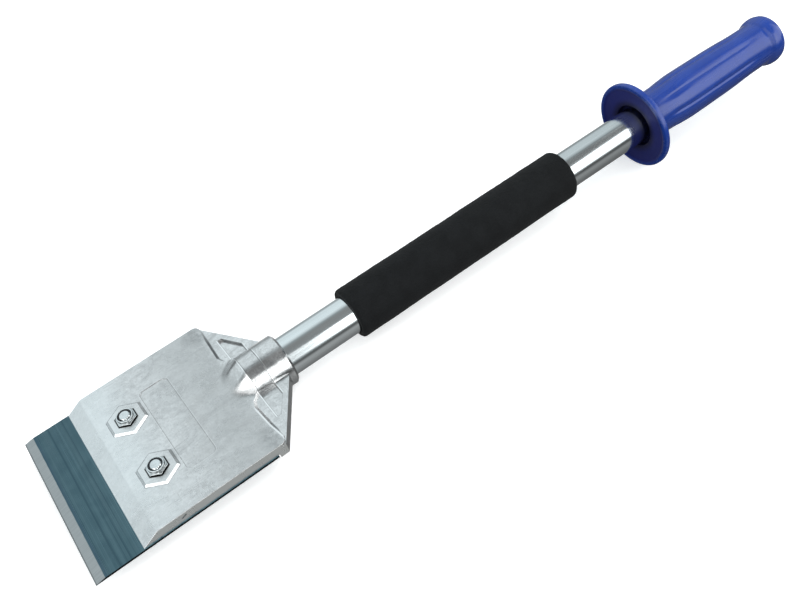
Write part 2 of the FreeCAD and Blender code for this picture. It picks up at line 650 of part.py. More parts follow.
# ------------------------------------------------------------------ handle tube
b = new_body("tube_body")
sk = new_sketch(b, "tube_section", "XZ_Plane")
polygon(sk, [(D["tube_start_x"], D["tube_bore_r"]), (D["tube_end_x"], D["tube_bore_r"]),
             (D["tube_end_x"], D["tube_r"]), (D["tube_start_x"], D["tube_r"])])
revolve(b, sk, "tube_drawn")
b.Placement = Placement(Vector(0, 0, az.val), Rotation())
b.setExpression("Placement.Base.z", az.txt)
hole = cyl_tool("tube_fixing_hole", D["pin_r"] + 0.05, 9, D["pin_x"], 0, az - D["tube_r"] - 1)
final(cut_all(b, [hole], "tube_cut"), "handle_tube")

# ------------------------------------------------------------------ screw through the socket
b = new_body("fixing_body")
sk = new_sketch(b, "fixing_section", "XZ_Plane")
ph, pr, zs = D["pin_head_r"], D["pin_r"], D["pin_seat_z"]
polygon(sk, [(0, zs - D["pin_head_high"]), (ph - 1.4, zs - D["pin_head_high"]),
             (ph, zs - D["pin_head_high"] + 1.3), (ph, zs), (pr, zs), (pr, D["pin_top_z"] - 1.5),
             (0.4, D["pin_top_z"]), (0, D["pin_top_z"])])
f = b.newObject("PartDesign::Revolution", "fixing_turned")
f.Profile = (sk, [""])
f.ReferenceAxis = (sk, ["V_Axis"])
f.Angle = 360.0
doc.recompute()
# cross drive
for k in (0, 1):
    sk = new_sketch(b, "fixing_cross_%d" % k, "XY_Plane", zs - D["pin_head_high"])
    w, l = (2.3, 0.5) if k == 0 else (0.5, 2.3)
    polygon(sk, [(-w, -l), (w, -l), (w, l), (-w, l)])
    pocket(b, sk, "fixing_slot_%d" % k, lift(1.3), reverse=True)
b.Placement = Placement(Vector(D["pin_x"].val, 0, 0), Rotation())
b.setExpression("Placement.Base.x", D["pin_x"].txt)
final(b, "tube_fixing_screw")

# ------------------------------------------------------------------ foam sleeve
b = new_body("foam_body")
sk = new_sketch(b, "foam_section", "XZ_Plane")
fr, f0, f1, fx0, fx1 = D["foam_r"], D["foam_bore_r"], D["foam_round"], D["foam_start_x"], D["foam_end_x"]
polygon(sk, [(fx0, f0), (fx1, f0), (fx1, fr - f1), (fx1 - f1 * 0.3, fr - f1 * 0.3), (fx1 - f1, fr),
             (fx0 + f1, fr), (fx0 + f1 * 0.3, fr - f1 * 0.3), (fx0, fr - f1)])
revolve(b, sk, "foam_sleeve")
b.Placement = Placement(Vector(0, 0, az.val), Rotation())
b.setExpression("Placement.Base.z", az.txt)
final(b, "foam_grip")

# ------------------------------------------------------------------ hand grip
b = new_body("grip_body")
sk = new_sketch(b, "grip_section", "XZ_Plane")
g0, gr, gt = D["grip_face_x"], D["guard_r"], D["guard_thick"]
neck, palm, waist, flare, ge = (D["grip_neck_r"], D["grip_palm_r"], D["grip_waist_r"],
                                D["grip_flare_r"], D["grip_end_x"])
polygon(sk, [(g0 + D["guard_hole_deep"], D["grip_bore_r"]), (g0 + D["guard_hole_deep"], D["guard_hole_r"]),
             (g0 + 0.9, D["guard_hole_r"]), (g0 + 0.6, gr - 3.5), (g0, gr - 2.2), (g0 + 0.4, gr - 0.6),
             (g0 + gt / 2, gr), (g0 + gt - 0.4, gr - 0.6), (g0 + gt, gr - 2.2),
             (g0 + gt - 0.2, neck + 2.4), (g0 + gt + 0.6, neck + 0.8), (g0 + gt + 2.4, neck),
             (g0 + 22, neck + 0.1), (g0 + 31, palm - 0.4), (g0 + 40, palm), (g0 + 58, palm - 0.25),
             (g0 + 78, palm - 0.6), (g0 + 88, waist + 0.25), (g0 + 96, waist),
             (g0 + 102, waist + 0.45), (g0 + 107, flare - 0.9), (ge - 5.5, flare),
             (ge - 2.2, flare), (ge - 0.6, flare - 0.8), (ge, flare - 2.2), (ge, 0),
             (D["grip_stop_x"], 0), (D["grip_stop_x"], D["grip_bore_r"])])
revolve(b, sk, "grip_moulded")
b.Placement = Placement(Vector(0, 0, az.val), Rotation())
b.setExpression("Placement.Base.z", az.txt)
final(b, "hand_grip")

# ------------------------------------------------------------------ checks and export
doc.recompute()
for o in doc.Objects:
    if "Invalid" in o.State or "Error" in o.State:
        raise RuntimeError("object %s is %s" % (o.Name, o.State))
os.makedirs("parts", exist_ok=True)
for old in os.listdir("parts"):
    if old.endswith(".step"):
        os.remove(os.path.join("parts", old))
for o in FINAL:
    s = o.Shape
    if s.isNull() or not s.isValid():
        raise RuntimeError("%s has no valid shape" % o.Label)
    if len(s.Solids) != 1:
        raise RuntimeError("%s has %d solids" % (o.Label, len(s.Solids)))
    s.exportStep(os.path.join("parts", o.Label + ".step"))
    bb = s.BoundBox
    print("%-20s vol %9.1f  x %.2f..%.2f  y %.2f..%.2f  z %.2f..%.2f" % (
        o.Label, s.Volume, bb.XMin, bb.XMax, bb.YMin, bb.YMax, bb.ZMin, bb.ZMax))
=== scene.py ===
import math

import bpy
import numpy as np
from mathutils import Matrix, Vector


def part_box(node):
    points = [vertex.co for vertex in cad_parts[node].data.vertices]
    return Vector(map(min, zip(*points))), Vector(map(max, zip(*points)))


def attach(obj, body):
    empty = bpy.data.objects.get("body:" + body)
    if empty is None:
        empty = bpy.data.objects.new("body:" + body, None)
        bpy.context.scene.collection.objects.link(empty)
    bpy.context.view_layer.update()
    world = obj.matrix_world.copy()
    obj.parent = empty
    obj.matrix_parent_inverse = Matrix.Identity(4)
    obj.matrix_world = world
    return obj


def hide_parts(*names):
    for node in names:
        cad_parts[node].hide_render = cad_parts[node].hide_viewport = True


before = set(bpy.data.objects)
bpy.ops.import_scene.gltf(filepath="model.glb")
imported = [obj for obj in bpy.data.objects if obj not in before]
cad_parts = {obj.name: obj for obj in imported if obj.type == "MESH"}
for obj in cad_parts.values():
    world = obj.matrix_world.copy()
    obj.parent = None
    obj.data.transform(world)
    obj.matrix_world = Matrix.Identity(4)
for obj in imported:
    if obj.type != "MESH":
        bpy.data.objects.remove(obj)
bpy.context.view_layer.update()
MM = 0.001
SCENE = bpy.context.scene
SCENE.view_settings.view_transform = "Standard"
SCENE.view_settings.look = "None"


# ------------------------------------------------------------------ material helper
class Mat:
    """A node material with a Principled shader and a few short-hands."""

    def __init__(self, name):
        self.m = bpy.data.materials.new(name)
        self.m.use_nodes = True
        self.t = self.m.node_tree
        self.t.nodes.clear()
        self.out = self.t.nodes.new("ShaderNodeOutputMaterial")
        self.b = self.t.nodes.new("ShaderNodeBsdfPrincipled")
        self.t.links.new(self.b.outputs[0], self.out.inputs[0])
        self.tc = self.t.nodes.new("ShaderNodeTexCoord")
        self.obj = self.tc.outputs["Object"]

    def set(self, **kw):
        for k, v in kw.items():
            s = self.b.inputs[k.replace("_", " ")]
            s.default_value = v
        return self

    def put(self, socket, value):
        if hasattr(value, "is_linked") or hasattr(value, "links"):
            self.t.links.new(value, socket)
        else:
            socket.default_value = value

    def scaled(self, sx, sy=None, sz=None, rot=(0, 0, 0), loc=(0, 0, 0)):
        """Object coordinates, each axis multiplied: scale 1000 gives millimetres."""
        n = self.t.nodes.new("ShaderNodeMapping")
        n.inputs["Scale"].default_value = (sx, sx if sy is None else sy, sx if sz is None else sz)
        n.inputs["Rotation"].default_value = rot
        n.inputs["Location"].default_value = loc
        self.t.links.new(self.obj, n.inputs["Vector"])
        return n.outputs["Vector"]

    def noise(self, vec, scale=1.0, detail=3.0, rough=0.55, distort=0.0):
        n = self.t.nodes.new("ShaderNodeTexNoise")
        self.t.links.new(vec, n.inputs["Vector"])
        n.inputs["Scale"].default_value = scale
        n.inputs["Detail"].default_value = detail
        n.inputs["Roughness"].default_value = rough
        n.inputs["Distortion"].default_value = distort
        return n.outputs["Fac"]

    def cells(self, vec, scale=1.0, feature="F1", out="Distance"):
        n = self.t.nodes.new("ShaderNodeTexVoronoi")
        n.feature = feature
        self.t.links.new(vec, n.inputs["Vector"])
        n.inputs["Scale"].default_value = scale
        return n.outputs[out]

    def ramp(self, fac, stops, interp="LINEAR"):
        n = self.t.nodes.new("ShaderNodeValToRGB")
        n.color_ramp.interpolation = interp
        e = n.color_ramp.elements
        while len(e) > 1:
            e.remove(e[-1])
        e[0].position, c = stops[0]
        e[0].color = colour(c)
        for p, c in stops[1:]:
            k = e.new(p)
            k.color = colour(c)
        self.t.links.new(fac, n.inputs["Fac"])
        return n.outputs["Color"]

    def mix(self, fac, a, b, mode="MIX"):
        n = self.t.nodes.new("ShaderNodeMix")
        n.data_type = "RGBA"
        n.blend_type = mode
        n.clamp_factor = True
        self.put(n.inputs[0], fac)
        self.put(n.inputs[6], a if not isinstance(a, tuple) else colour(a))
        self.put(n.inputs[7], b if not isinstance(b, tuple) else colour(b))
        return n.outputs[2]

    def calc(self, op, a, b=0.0, c=None, clamp=False):
        n = self.t.nodes.new("ShaderNodeMath")
        n.operation = op
        n.use_clamp = clamp
        self.put(n.inputs[0], a)
        self.put(n.inputs[1], b)
        if c is not None:
            self.put(n.inputs[2], c)
        return n.outputs[0]

    def span(self, fac, a, b, lo=0.0, hi=1.0, smooth=True):
        n = self.t.nodes.new("ShaderNodeMapRange")
        n.interpolation_type = "SMOOTHSTEP" if smooth else "LINEAR"
        self.put(n.inputs["Value"], fac)
        n.inputs["From Min"].default_value = a
        n.inputs["From Max"].default_value = b
        n.inputs["To Min"].default_value = lo
        n.inputs["To Max"].default_value = hi
        return n.outputs["Result"]

    def axis(self, k):
        n = self.t.nodes.new("ShaderNodeSeparateXYZ")
        self.t.links.new(self.obj, n.inputs[0])
        return n.outputs[k]

    def facing_up(self):
        """How far the surface faces up or down: 1 flat, 0 upright."""
        g = self.t.nodes.new("ShaderNodeNewGeometry")
        n = self.t.nodes.new("ShaderNodeSeparateXYZ")
        self.t.links.new(g.outputs["Normal"], n.inputs[0])
        return self.calc("ABSOLUTE", n.outputs[2])

    def bump(self, layers):
        """Bump layers as (height socket, distance in metres, strength)."""
        last = None
        for h, dist, strength in layers:
            n = self.t.nodes.new("ShaderNodeBump")
            n.inputs["Strength"].default_value = strength
            n.inputs["Distance"].default_value = dist
            self.t.links.new(h, n.inputs["Height"])
            if last is not None:
                self.t.links.new(last, n.inputs["Normal"])
            last = n.outputs["Normal"]
        self.t.links.new(last, self.b.inputs["Normal"])

    def base(self, v):
        self.put(self.b.inputs["Base Color"], v)

    def rough(self, v):
        self.put(self.b.inputs["Roughness"], v)


def colour(c):
    if isinstance(c, (int, float)):
        return (c, c, c, 1.0)
    return (c[0], c[1], c[2], 1.0)


def grey(g, tint=(1.0, 1.0, 1.0)):
    return (g * tint[0], g * tint[1], g * tint[2])


# ------------------------------------------------------------------ materials
COOL = (0.93, 0.985, 1.0)
ALLOY = (0.985, 0.995, 1.0)


def cast_material():
    """Bare die-cast zinc and aluminium alloy: satin, mottled, with fine mould and handling marks,
    painted shade along the steps, round the pads and nut pockets and at the panel and window outlines, and painted
    highlights on the step tops and side walls."""
    m = Mat("cast_alloy")
    m.set(Metallic=1.0)
    mm = m.scaled(1000)
    x = m.calc("MULTIPLY", m.axis(0), 1000.0)
    y = m.calc("MULTIPLY", m.axis(1), 1000.0)
    z = m.calc("MULTIPLY", m.axis(2), 1000.0)
    ay = m.calc("ABSOLUTE", y)
    cloud = m.noise(mm, 0.10, 4, 0.6, 0.6)
    patch = m.noise(mm, 0.42, 5, 0.68, 0.5)
    fine = m.noise(mm, 2.6, 4, 0.6)
    # fine straight marks in three directions
    s1 = m.noise(m.scaled(90, 2600, 90, rot=(0, 0, math.radians(18))), 1.0, 3, 0.6)
    s2 = m.noise(m.scaled(2300, 80, 80, rot=(0, 0, math.radians(-33))), 1.0, 3, 0.6)
    marks = m.calc("MAXIMUM", m.span(s1, 0.62, 0.78), m.span(s2, 0.64, 0.80))
    drag = m.noise(m.scaled(70, 520, 200, rot=(0, 0, math.radians(-58))), 1.0, 4, 0.62, 0.4)
    pits = m.span(m.cells(m.scaled(420), 1.0), 0.06, 0.16, 1.0, 0.0)
    pits = m.calc("MULTIPLY", pits, m.span(m.noise(mm, 0.9, 2), 0.50, 0.64))
    smudge = m.noise(m.scaled(40, 105, 60, rot=(0, 0, math.radians(32))), 1.0, 6, 0.70, 1.1)
    warm = m.noise(m.scaled(55), 1.0, 4, 0.6, 0.8)
    c = m.mix(m.span(cloud, 0.32, 0.68), grey(0.60, ALLOY), grey(0.80, ALLOY))
    c = m.mix(m.calc("MULTIPLY", m.span(patch, 0.46, 0.70), 0.50), c, grey(0.93, ALLOY))
    c = m.mix(m.span(smudge, 0.50, 0.72, 0.0, 0.46), c, grey(0.42, (0.98, 0.99, 1.0)))
    c = m.mix(m.span(warm, 0.52, 0.74, 0.0, 0.30), c, grey(0.56, (1.01, 0.99, 0.975)))
    c = m.mix(m.span(drag, 0.55, 0.76, 0.0, 0.40), c, grey(0.90, ALLOY))
    c = m.mix(m.span(drag, 0.42, 0.26, 0.0, 0.45), c, grey(0.42, ALLOY))
    c = m.mix(m.calc("MULTIPLY", marks, 0.75), c, grey(1.0, ALLOY))
    grain = m.noise(mm, 0.95, 5, 0.78)
    c = m.mix(m.span(grain, 0.50, 0.68, 0.0, 0.34), c, grey(0.40, ALLOY))
    c = m.mix(m.span(grain, 0.46, 0.32, 0.0, 0.30), c, grey(0.98, ALLOY))
    s3 = m.noise(m.scaled(240, 1500, 240, rot=(0, 0, math.radians(-52))), 1.0, 3, 0.6)
    s4 = m.noise(m.scaled(1500, 210, 210, rot=(0, 0, math.radians(-24))), 1.0, 3, 0.6)
    scrape = m.calc("MAXIMUM", m.span(s3, 0.60, 0.72), m.span(s4, 0.61, 0.73))
    scrape = m.calc("MULTIPLY", scrape, m.span(patch, 0.40, 0.62, 0.25, 1.0))
    c = m.mix(m.calc("MULTIPLY", scrape, 0.50), c, grey(0.38, (1.0, 0.99, 0.98)))
    c = m.mix(m.calc("MULTIPLY", pits, 0.65), c, grey(0.26, ALLOY))
    # darker towards the back of the plate
    back = m.calc("MULTIPLY", m.span(x, 8.0, 42.0, 0.0, 0.46), m.span(x, 52.0, 56.0, 1.0, 0.0))
    c = m.mix(back, c, grey(0.46, (0.985, 1.0, 1.0)))
    # lighter towards the front of the plate
    c = m.mix(m.calc("MULTIPLY", m.span(x, -12.0, 14.0, 1.0, 0.0), m.span(y, -40.0, -18.0, 0.26, 0.50)), c,
              grey(0.97, (0.95, 1.005, 1.02)))

    def line(d, half, soft=0.10):
        return m.span(m.calc("ABSOLUTE", d), half, half + soft, 1.0, 0.0)

    def within(v, a, b, soft=0.3):
        return m.calc("MULTIPLY", m.span(v, a - soft, a, 0.0, 1.0), m.span(v, b, b + soft, 1.0, 0.0))

    def sub(a, b):
        return m.calc("SUBTRACT", a, b)

    # round the label panel: distance to a rounded box
    px, py, hx, hy, rr = PANEL_BOX
    qx = m.calc("MAXIMUM", sub(m.calc("ABSOLUTE", sub(x, px)), hx - rr), 0.0)
    qy = m.calc("MAXIMUM", sub(m.calc("ABSOLUTE", sub(y, py)), hy - rr), 0.0)
    inside = m.calc("MINIMUM", m.calc("MAXIMUM", sub(m.calc("ABSOLUTE", sub(x, px)), hx - rr),
                                      sub(m.calc("ABSOLUTE", sub(y, py)), hy - rr)), 0.0)
    dist = sub(m.calc("ADD", m.calc("SQRT", m.calc("ADD", m.calc("MULTIPLY", qx, qx),
                                                   m.calc("MULTIPLY", qy, qy))), inside), rr)
    thin = m.span(m.noise(mm, 0.35, 3, 0.6), 0.30, 0.55, 0.25, 1.0)
    # painted shade: a dark line along the label panel's step; painted highlight: a bright line on the rim just
    # outside it
    panel_edge_shade = m.calc("MULTIPLY", line(dist, 0.10, 0.14), m.calc("MULTIPLY", thin, 0.55))
    panel_edge_highlight = m.calc("MULTIPLY", line(m.calc("ADD", dist, -0.42), 0.10, 0.14), m.calc("MULTIPLY", thin, 0.35))
    # painted shade: dark lines along the band and the window outlines in the web
    w0, w1, wy0, wy1, wy2, wc = WINDOW
    e1 = m.calc("MULTIPLY", line(sub(x, w0), 0.07), m.span(ay, wy1, wy1 + 0.3, 1.0, 0.0))
    e2 = m.calc("MULTIPLY", line(sub(x, w1), 0.08), m.span(ay, wy2, wy2 + 0.3, 1.0, 0.0))
    k = 1.0 / math.hypot(w1 - wc, wy1 - wy2)
    slant = m.calc("MULTIPLY", m.calc("ADD", m.calc("MULTIPLY", sub(x, w1), wy1 - wy2),
                                      m.calc("MULTIPLY", sub(ay, wy2), w1 - wc)), k)
    e3 = m.calc("MULTIPLY", line(slant, 0.10), within(x, wc, w1))
    e4 = m.calc("MULTIPLY", line(sub(ay, wy1), 0.09), within(x, w0, wc))
    window_edge_shade = m.calc("MAXIMUM", m.calc("MAXIMUM", e1, e2), m.calc("MAXIMUM", e3, e4))
    window_edge_shade = m.calc("MULTIPLY", window_edge_shade, m.span(z, 1.5, 2.5, 0.0, 0.62))
    # painted highlight: bright lines just beside the window outlines
    b1 = m.calc("MULTIPLY", line(sub(x, w0 - 0.42), 0.16, 0.16), m.span(ay, wy1, wy1 + 0.3, 1.0, 0.0))
    b2 = m.calc("MULTIPLY", line(sub(x, w1 + 0.42), 0.12, 0.14), m.span(ay, wy2, wy2 + 0.3, 1.0, 0.0))
    shine = m.calc("MULTIPLY", m.calc("MAXIMUM", b1, b2), m.span(z, 1.5, 2.5, 0.0, 0.9))
    # painted highlight: a bright line along the top of the step down to the web
    sx = m.calc("ADD", m.calc("ADD", m.span(ay, 21.0, 36.0, 53.9, 54.9, False),
                              m.span(ay, 36.0, 45.8, 0.0, 1.5, False)),
                m.calc("ADD", m.span(ay, 17.4, 21.0, 1.3, 0.0, False), m.span(ay, 12.6, 17.4, 5.4, 0.0, False)))
    step_crest_highlight = m.calc("MULTIPLY", line(m.calc("ADD", sub(x, sx), 0.35), 0.28, 0.45),
                  m.calc("MULTIPLY", m.span(y, -24.0, -19.0, 0.8, 0.0), m.span(z, 6.4, 6.8, 0.0, 1.0)))
    # painted shade along the bottom of the step on the other side
    step_foot_shade = m.calc("MULTIPLY", line(m.calc("ADD", sub(x, sx), -0.75), 0.45, 0.35),
                  m.calc("MULTIPLY", m.calc("MAXIMUM", within(y, 19.0, 34.0, 3.0), within(y, -38.0, -23.0, 4.0)), m.span(z, 6.9, 7.0, 1.0, 0.0)))
    # and painted shade in the near corner of the plate, under the step
    plate_corner_shade = m.calc("ADD", m.calc("MULTIPLY", sub(x, 52.5), sub(x, 52.5)),
                   m.calc("MULTIPLY", sub(ay, 43.5), sub(ay, 43.5)))
    plate_corner_shade = m.calc("MULTIPLY", m.span(m.calc("ADD", plate_corner_shade, m.calc("MULTIPLY", drag, 40.0)), 14.0, 120.0, 0.62, 0.0),
                   m.calc("MULTIPLY", m.span(z, 6.4, 6.9, 0.0, 1.0), m.span(patch, 0.36, 0.62, 0.15, 1.0)))
    c = m.mix(plate_corner_shade, c, grey(0.30, (0.98, 1.0, 1.02)))
    # clamp pads: painted shade round the base of each pad and in the nut pocket, and a fine painted dark line along
    # the top rim
    dy = m.calc("ABSOLUTE", sub(ay, PAD[0]))
    hexd = m.calc("MAXIMUM", m.calc("ABSOLUTE", x),
                  m.calc("ADD", m.calc("MULTIPLY", m.calc("ABSOLUTE", x), 0.5), m.calc("MULTIPLY", dy, 0.8660254)))
    top = m.span(z, 6.8, 6.95, 0.0, 1.0)
    pad_foot_shade = m.calc("MULTIPLY", line(sub(hexd, PAD[1] / 2 + 0.10), 0.10, 0.20), m.calc("MULTIPLY", top, m.calc("MULTIPLY", thin, 0.62)))
    pad_crest_shade = m.calc("MULTIPLY", line(sub(hexd, PAD[2] / 2), 0.06, 0.14), m.calc("MULTIPLY", top, 0.40))
    nut_pocket_shade = m.calc("MULTIPLY", m.span(hexd, PAD[3] / 2 + 0.10, PAD[3] / 2 + 0.45, 0.92, 0.0), m.span(z, 8.35, 8.4, 1.0, 0.0))
    nut_pocket_shade = m.calc("MULTIPLY", nut_pocket_shade, m.span(z, 5.0, 5.2, 0.0, 1.0))
    c = m.mix(m.calc("MAXIMUM", pad_foot_shade, pad_crest_shade), c, grey(0.16, (0.98, 1.0, 1.04)))
    c = m.mix(nut_pocket_shade, c, grey(0.035, (1.0, 1.0, 1.0)))
    # painted highlight: the outer side walls are painted paler and plainer, weaker towards the rear
    side_wall_highlight = m.calc("MULTIPLY", m.span(ay, SIDE - 0.10, SIDE - 0.03, 0.0, 0.95), m.span(x, 60.0, 70.0, 1.0, 0.3))
    c = m.mix(side_wall_highlight, c, grey(1.0, (0.98, 1.0, 0.985)))
    # lay on the painted highlights and painted shade
    c = m.mix(step_crest_highlight, c, grey(1.0, ALLOY))
    c = m.mix(m.calc("MULTIPLY", step_foot_shade, 0.6), c, grey(0.28, (0.98, 1.0, 1.03)))
    c = m.mix(m.calc("MAXIMUM", shine, panel_edge_highlight), c, grey(0.98, ALLOY))
    c = m.mix(panel_edge_shade, c, grey(0.24, (1.0, 0.98, 0.97)))
    c = m.mix(window_edge_shade, c, grey(0.12, (1.04, 0.98, 0.94)))
    m.base(c)
    r = m.calc("ADD", m.span(cloud, 0.25, 0.75, 0.24, 0.38), m.span(fine, 0.3, 0.7, -0.03, 0.05))
    r = m.calc("ADD", r, m.span(x, 50.0, 57.0, 0.0, -0.17))
    m.rough(r)
    m.bump([(cloud, 0.00035, 0.35), (patch, 0.00012, 0.45), (fine, 0.00003, 0.5),
            (drag, 0.00003, 0.5), (pits, 0.00004, -0.5)])
    return m.m


def blade_material(front_x, bevel_end):
    """Blued spring steel with rolling streaks along the edge, ground bright at the bevel."""
    m = Mat("blued_spring_steel")
    m.set(Metallic=1.0)
    mm = m.scaled(1000)
    streak = m.noise(m.scaled(1400, 12, 300), 1.0, 4, 0.6)
    broad = m.noise(m.scaled(160, 9, 100), 1.0, 3, 0.55)
    cloud = m.noise(mm, 0.09, 3, 0.5, 0.3)
    fine = m.noise(mm, 3.0, 3, 0.6)
    blue = m.mix(m.span(cloud, 0.3, 0.7), (0.070, 0.130, 0.158), (0.088, 0.157, 0.186))
    blue = m.mix(m.span(broad, 0.45, 0.75, 0.0, 0.5), blue, (0.125, 0.195, 0.222))
    blue = m.mix(m.span(streak, 0.60, 0.85, 0.0, 0.55), blue, (0.170, 0.245, 0.270))
    blue = m.mix(m.span(streak, 0.42, 0.20, 0.0, 0.65), blue, (0.050, 0.094, 0.118))
    rolled = m.noise(m.scaled(620, 5, 200), 1.0, 2, 0.5)
    blue = m.mix(m.span(rolled, 0.56, 0.66, 0.0, 0.70), blue, (0.046, 0.092, 0.118))
    blue = m.mix(m.span(rolled, 0.44, 0.34, 0.0, 0.45), blue, (0.118, 0.200, 0.232))
    # grinding marks run across the bevel
    grind = m.noise(m.scaled(60, 2400, 60), 1.0, 4, 0.65)
    steel = m.mix(m.span(grind, 0.3, 0.7), (0.335, 0.358, 0.365), (0.435, 0.457, 0.464))
    x = m.axis(0)
    wave = m.calc("MULTIPLY", m.calc("SUBTRACT", m.noise(m.scaled(0, 140, 0), 1.0, 2), 0.5), 0.00035)
    along = m.calc("ADD", x, wave)
    ground = m.span(along, bevel_end - 0.00008, bevel_end + 0.00010, 1.0, 0.0)
    # a narrow heat line where the grinding meets the blued face
    line = m.calc("MULTIPLY", m.span(along, bevel_end + 0.0001, bevel_end + 0.0005, 0.0, 1.0),
                  m.span(along, bevel_end + 0.0009, bevel_end + 0.0020, 1.0, 0.0))
    blue = m.mix(m.calc("MULTIPLY", line, 0.35), blue, (0.050, 0.085, 0.14))
    # honed cutting edge
    edge = m.span(along, front_x + 0.0004, front_x + 0.0007, 1.0, 0.0)
    steel = m.mix(m.calc("MULTIPLY", edge, 0.75), steel, (0.120, 0.128, 0.132))
    # painted shade: the sheared sides of the blade are painted near black
    side_edge_shade = m.span(m.calc("ABSOLUTE", m.axis(1)), 0.04985, 0.04995, 0.0, 1.0)
    m.base(m.mix(side_edge_shade, m.mix(ground, blue, steel), (0.006, 0.007, 0.008)))
    m.rough(m.mix(ground, m.span(streak, 0.3, 0.7, 0.26, 0.36), m.span(grind, 0.3, 0.7, 0.30, 0.42)))
    m.bump([(streak, 0.00002, 0.35), (fine, 0.00001, 0.4)])
    return m.m


def zinc_material(name="bright_zinc_plate", tone=0.80):
    """Bright zinc-plated hardware."""
    m = Mat(name)
    m.set(Metallic=1.0)
    mm = m.scaled(1000)
    big = m.noise(mm, 0.5, 3, 0.6)
    fine = m.noise(mm, 5.0, 3, 0.6)
    c = m.mix(m.span(big, 0.3, 0.7), grey(tone * 0.88, COOL), grey(tone * 1.06, COOL))
    c = m.mix(m.span(fine, 0.62, 0.78, 0.0, 0.35), c, grey(tone * 0.6, COOL))
    # painted shade: the upright faces, such as the flats and the side of the collar, are painted darker in patches
    nz = m.facing_up()
    upright_face_shade = m.calc("MULTIPLY", m.span(nz, 0.30, 0.80, 0.92, 0.0), m.span(big, 0.38, 0.62, 0.60, 1.0))
    c = m.mix(upright_face_shade, c, grey(0.10, COOL))
    m.base(c)
    m.rough(m.span(fine, 0.3, 0.7, 0.06, 0.14))
    m.bump([(fine, 0.00001, 0.5), (big, 0.00005, 0.25)])
    return m.m


def tube_material():
    """Drawn steel tube, bright zinc plated: mirror-like, with faint drawing lines along it."""
    m = Mat("plated_tube_steel")
    m.set(Metallic=1.0)
    line = m.noise(m.scaled(7, 1500, 1500), 1.0, 3, 0.6)
    soft = m.noise(m.scaled(30, 220, 220), 1.0, 3, 0.6)
    spot = m.noise(m.scaled(1000), 1.3, 3, 0.6)
    c = m.mix(m.span(soft, 0.3, 0.7), grey(0.79, COOL), grey(0.85, COOL))
    c = m.mix(m.span(line, 0.62, 0.80, 0.0, 0.25), c, grey(0.62, COOL))
    c = m.mix(m.span(spot, 0.70, 0.80, 0.0, 0.35), c, grey(0.60, COOL))
    m.base(c)
    m.rough(m.calc("ADD", m.span(line, 0.3, 0.7, 0.09, 0.15), m.span(soft, 0.3, 0.7, 0.0, 0.04)))
    m.bump([(line, 0.00001, 0.25), (soft, 0.00003, 0.15)])
    return m.m


def foam_material():
    """Matt black closed-cell foam with a fine open-grained skin."""
    m = Mat("black_foam")
    m.set(Metallic=0.0, Specular_IOR_Level=0.20, Sheen_Weight=0.03, Sheen_Roughness=0.5)
    mm = m.scaled(1000)
    cell = m.cells(mm, 1.35)
    small = m.cells(mm, 2.9)
    grain = m.noise(mm, 2.2, 5, 0.7)
    broad = m.noise(mm, 0.12, 3, 0.5)
    c = m.mix(m.span(broad, 0.3, 0.7), (0.0030, 0.0036, 0.0042), (0.0052, 0.0060, 0.0068))
    c = m.mix(m.span(cell, 0.10, 0.42, 0.55, 0.0), c, (0.0010, 0.0012, 0.0014))
    c = m.mix(m.span(grain, 0.55, 0.78, 0.0, 0.6), c, (0.030, 0.034, 0.037))
    m.base(c)
    m.rough(m.span(grain, 0.3, 0.7, 0.72, 0.92))
    m.bump([(cell, 0.00022, 0.55), (small, 0.00012, 0.5), (grain, 0.00010, 0.5)])
    return m.m


def vinyl_material(name="blue_vinyl", coat=0.30, dull=0.0, shine=0.5):
    """Dip-moulded blue vinyl: glossy, or dull where the mould was textured."""
    m = Mat(name)
    m.set(Metallic=0.0, IOR=1.46, Coat_Weight=coat, Coat_Roughness=0.10, Specular_IOR_Level=shine)
    mm = m.scaled(1000)
    broad = m.noise(mm, 0.06, 3, 0.5)
    flow = m.noise(m.scaled(40, 260, 260), 1.0, 4, 0.6)
    peel = m.noise(mm, 0.8, 3, 0.5)
    dust = m.noise(mm, 3.5, 3, 0.6)
    c = m.mix(m.span(broad, 0.3, 0.7), (0.0068, 0.0335, 0.222), (0.0088, 0.041, 0.255))
    c = m.mix(m.span(flow, 0.5, 0.8, 0.0, 0.3), c, (0.009, 0.050, 0.300))
    c = m.mix(m.span(dust, 0.68, 0.82, 0.0, 0.15), c, (0.03, 0.08, 0.32))
    # the front of the guard is duller; painted shade darkens it and turns the opening round the tube near black
    gx, gy, gz, gr = GUARD
    yy, zz = m.calc("SUBTRACT", m.axis(1), gy * MM), m.calc("SUBTRACT", m.axis(2), gz * MM)
    rad = m.calc("SQRT", m.calc("ADD", m.calc("MULTIPLY", yy, yy), m.calc("MULTIPLY", zz, zz)))
    guard_face_shade = m.calc("MULTIPLY", m.span(m.axis(0), (gx + 1.2) * MM, (gx + 1.8) * MM, 1.0, 0.0),
                  m.span(rad, (gr - 3.4) * MM, (gr - 1.0) * MM, 1.0, 0.0))
    guard_mouth_shade = m.calc("MULTIPLY", m.span(m.axis(0), (gx + 6.0) * MM, (gx + 7.0) * MM, 1.0, 0.0),
                   m.span(rad, 13.4 * MM, 18.5 * MM, 1.0, 0.0))
    c = m.mix(m.calc("MULTIPLY", guard_face_shade, 0.85), c, (0.009, 0.009, 0.090))
    c = m.mix(guard_mouth_shade, c, (0.0020, 0.0028, 0.030))
    m.base(c)
    m.rough(m.calc("ADD", m.span(flow, 0.3, 0.7, 0.20 + dull, 0.28 + dull), m.span(dust, 0.3, 0.7, 0.0, 0.03)))
    m.bump([(peel, 0.00006, 0.3), (dust, 0.00001, 0.3)])
    return m.m


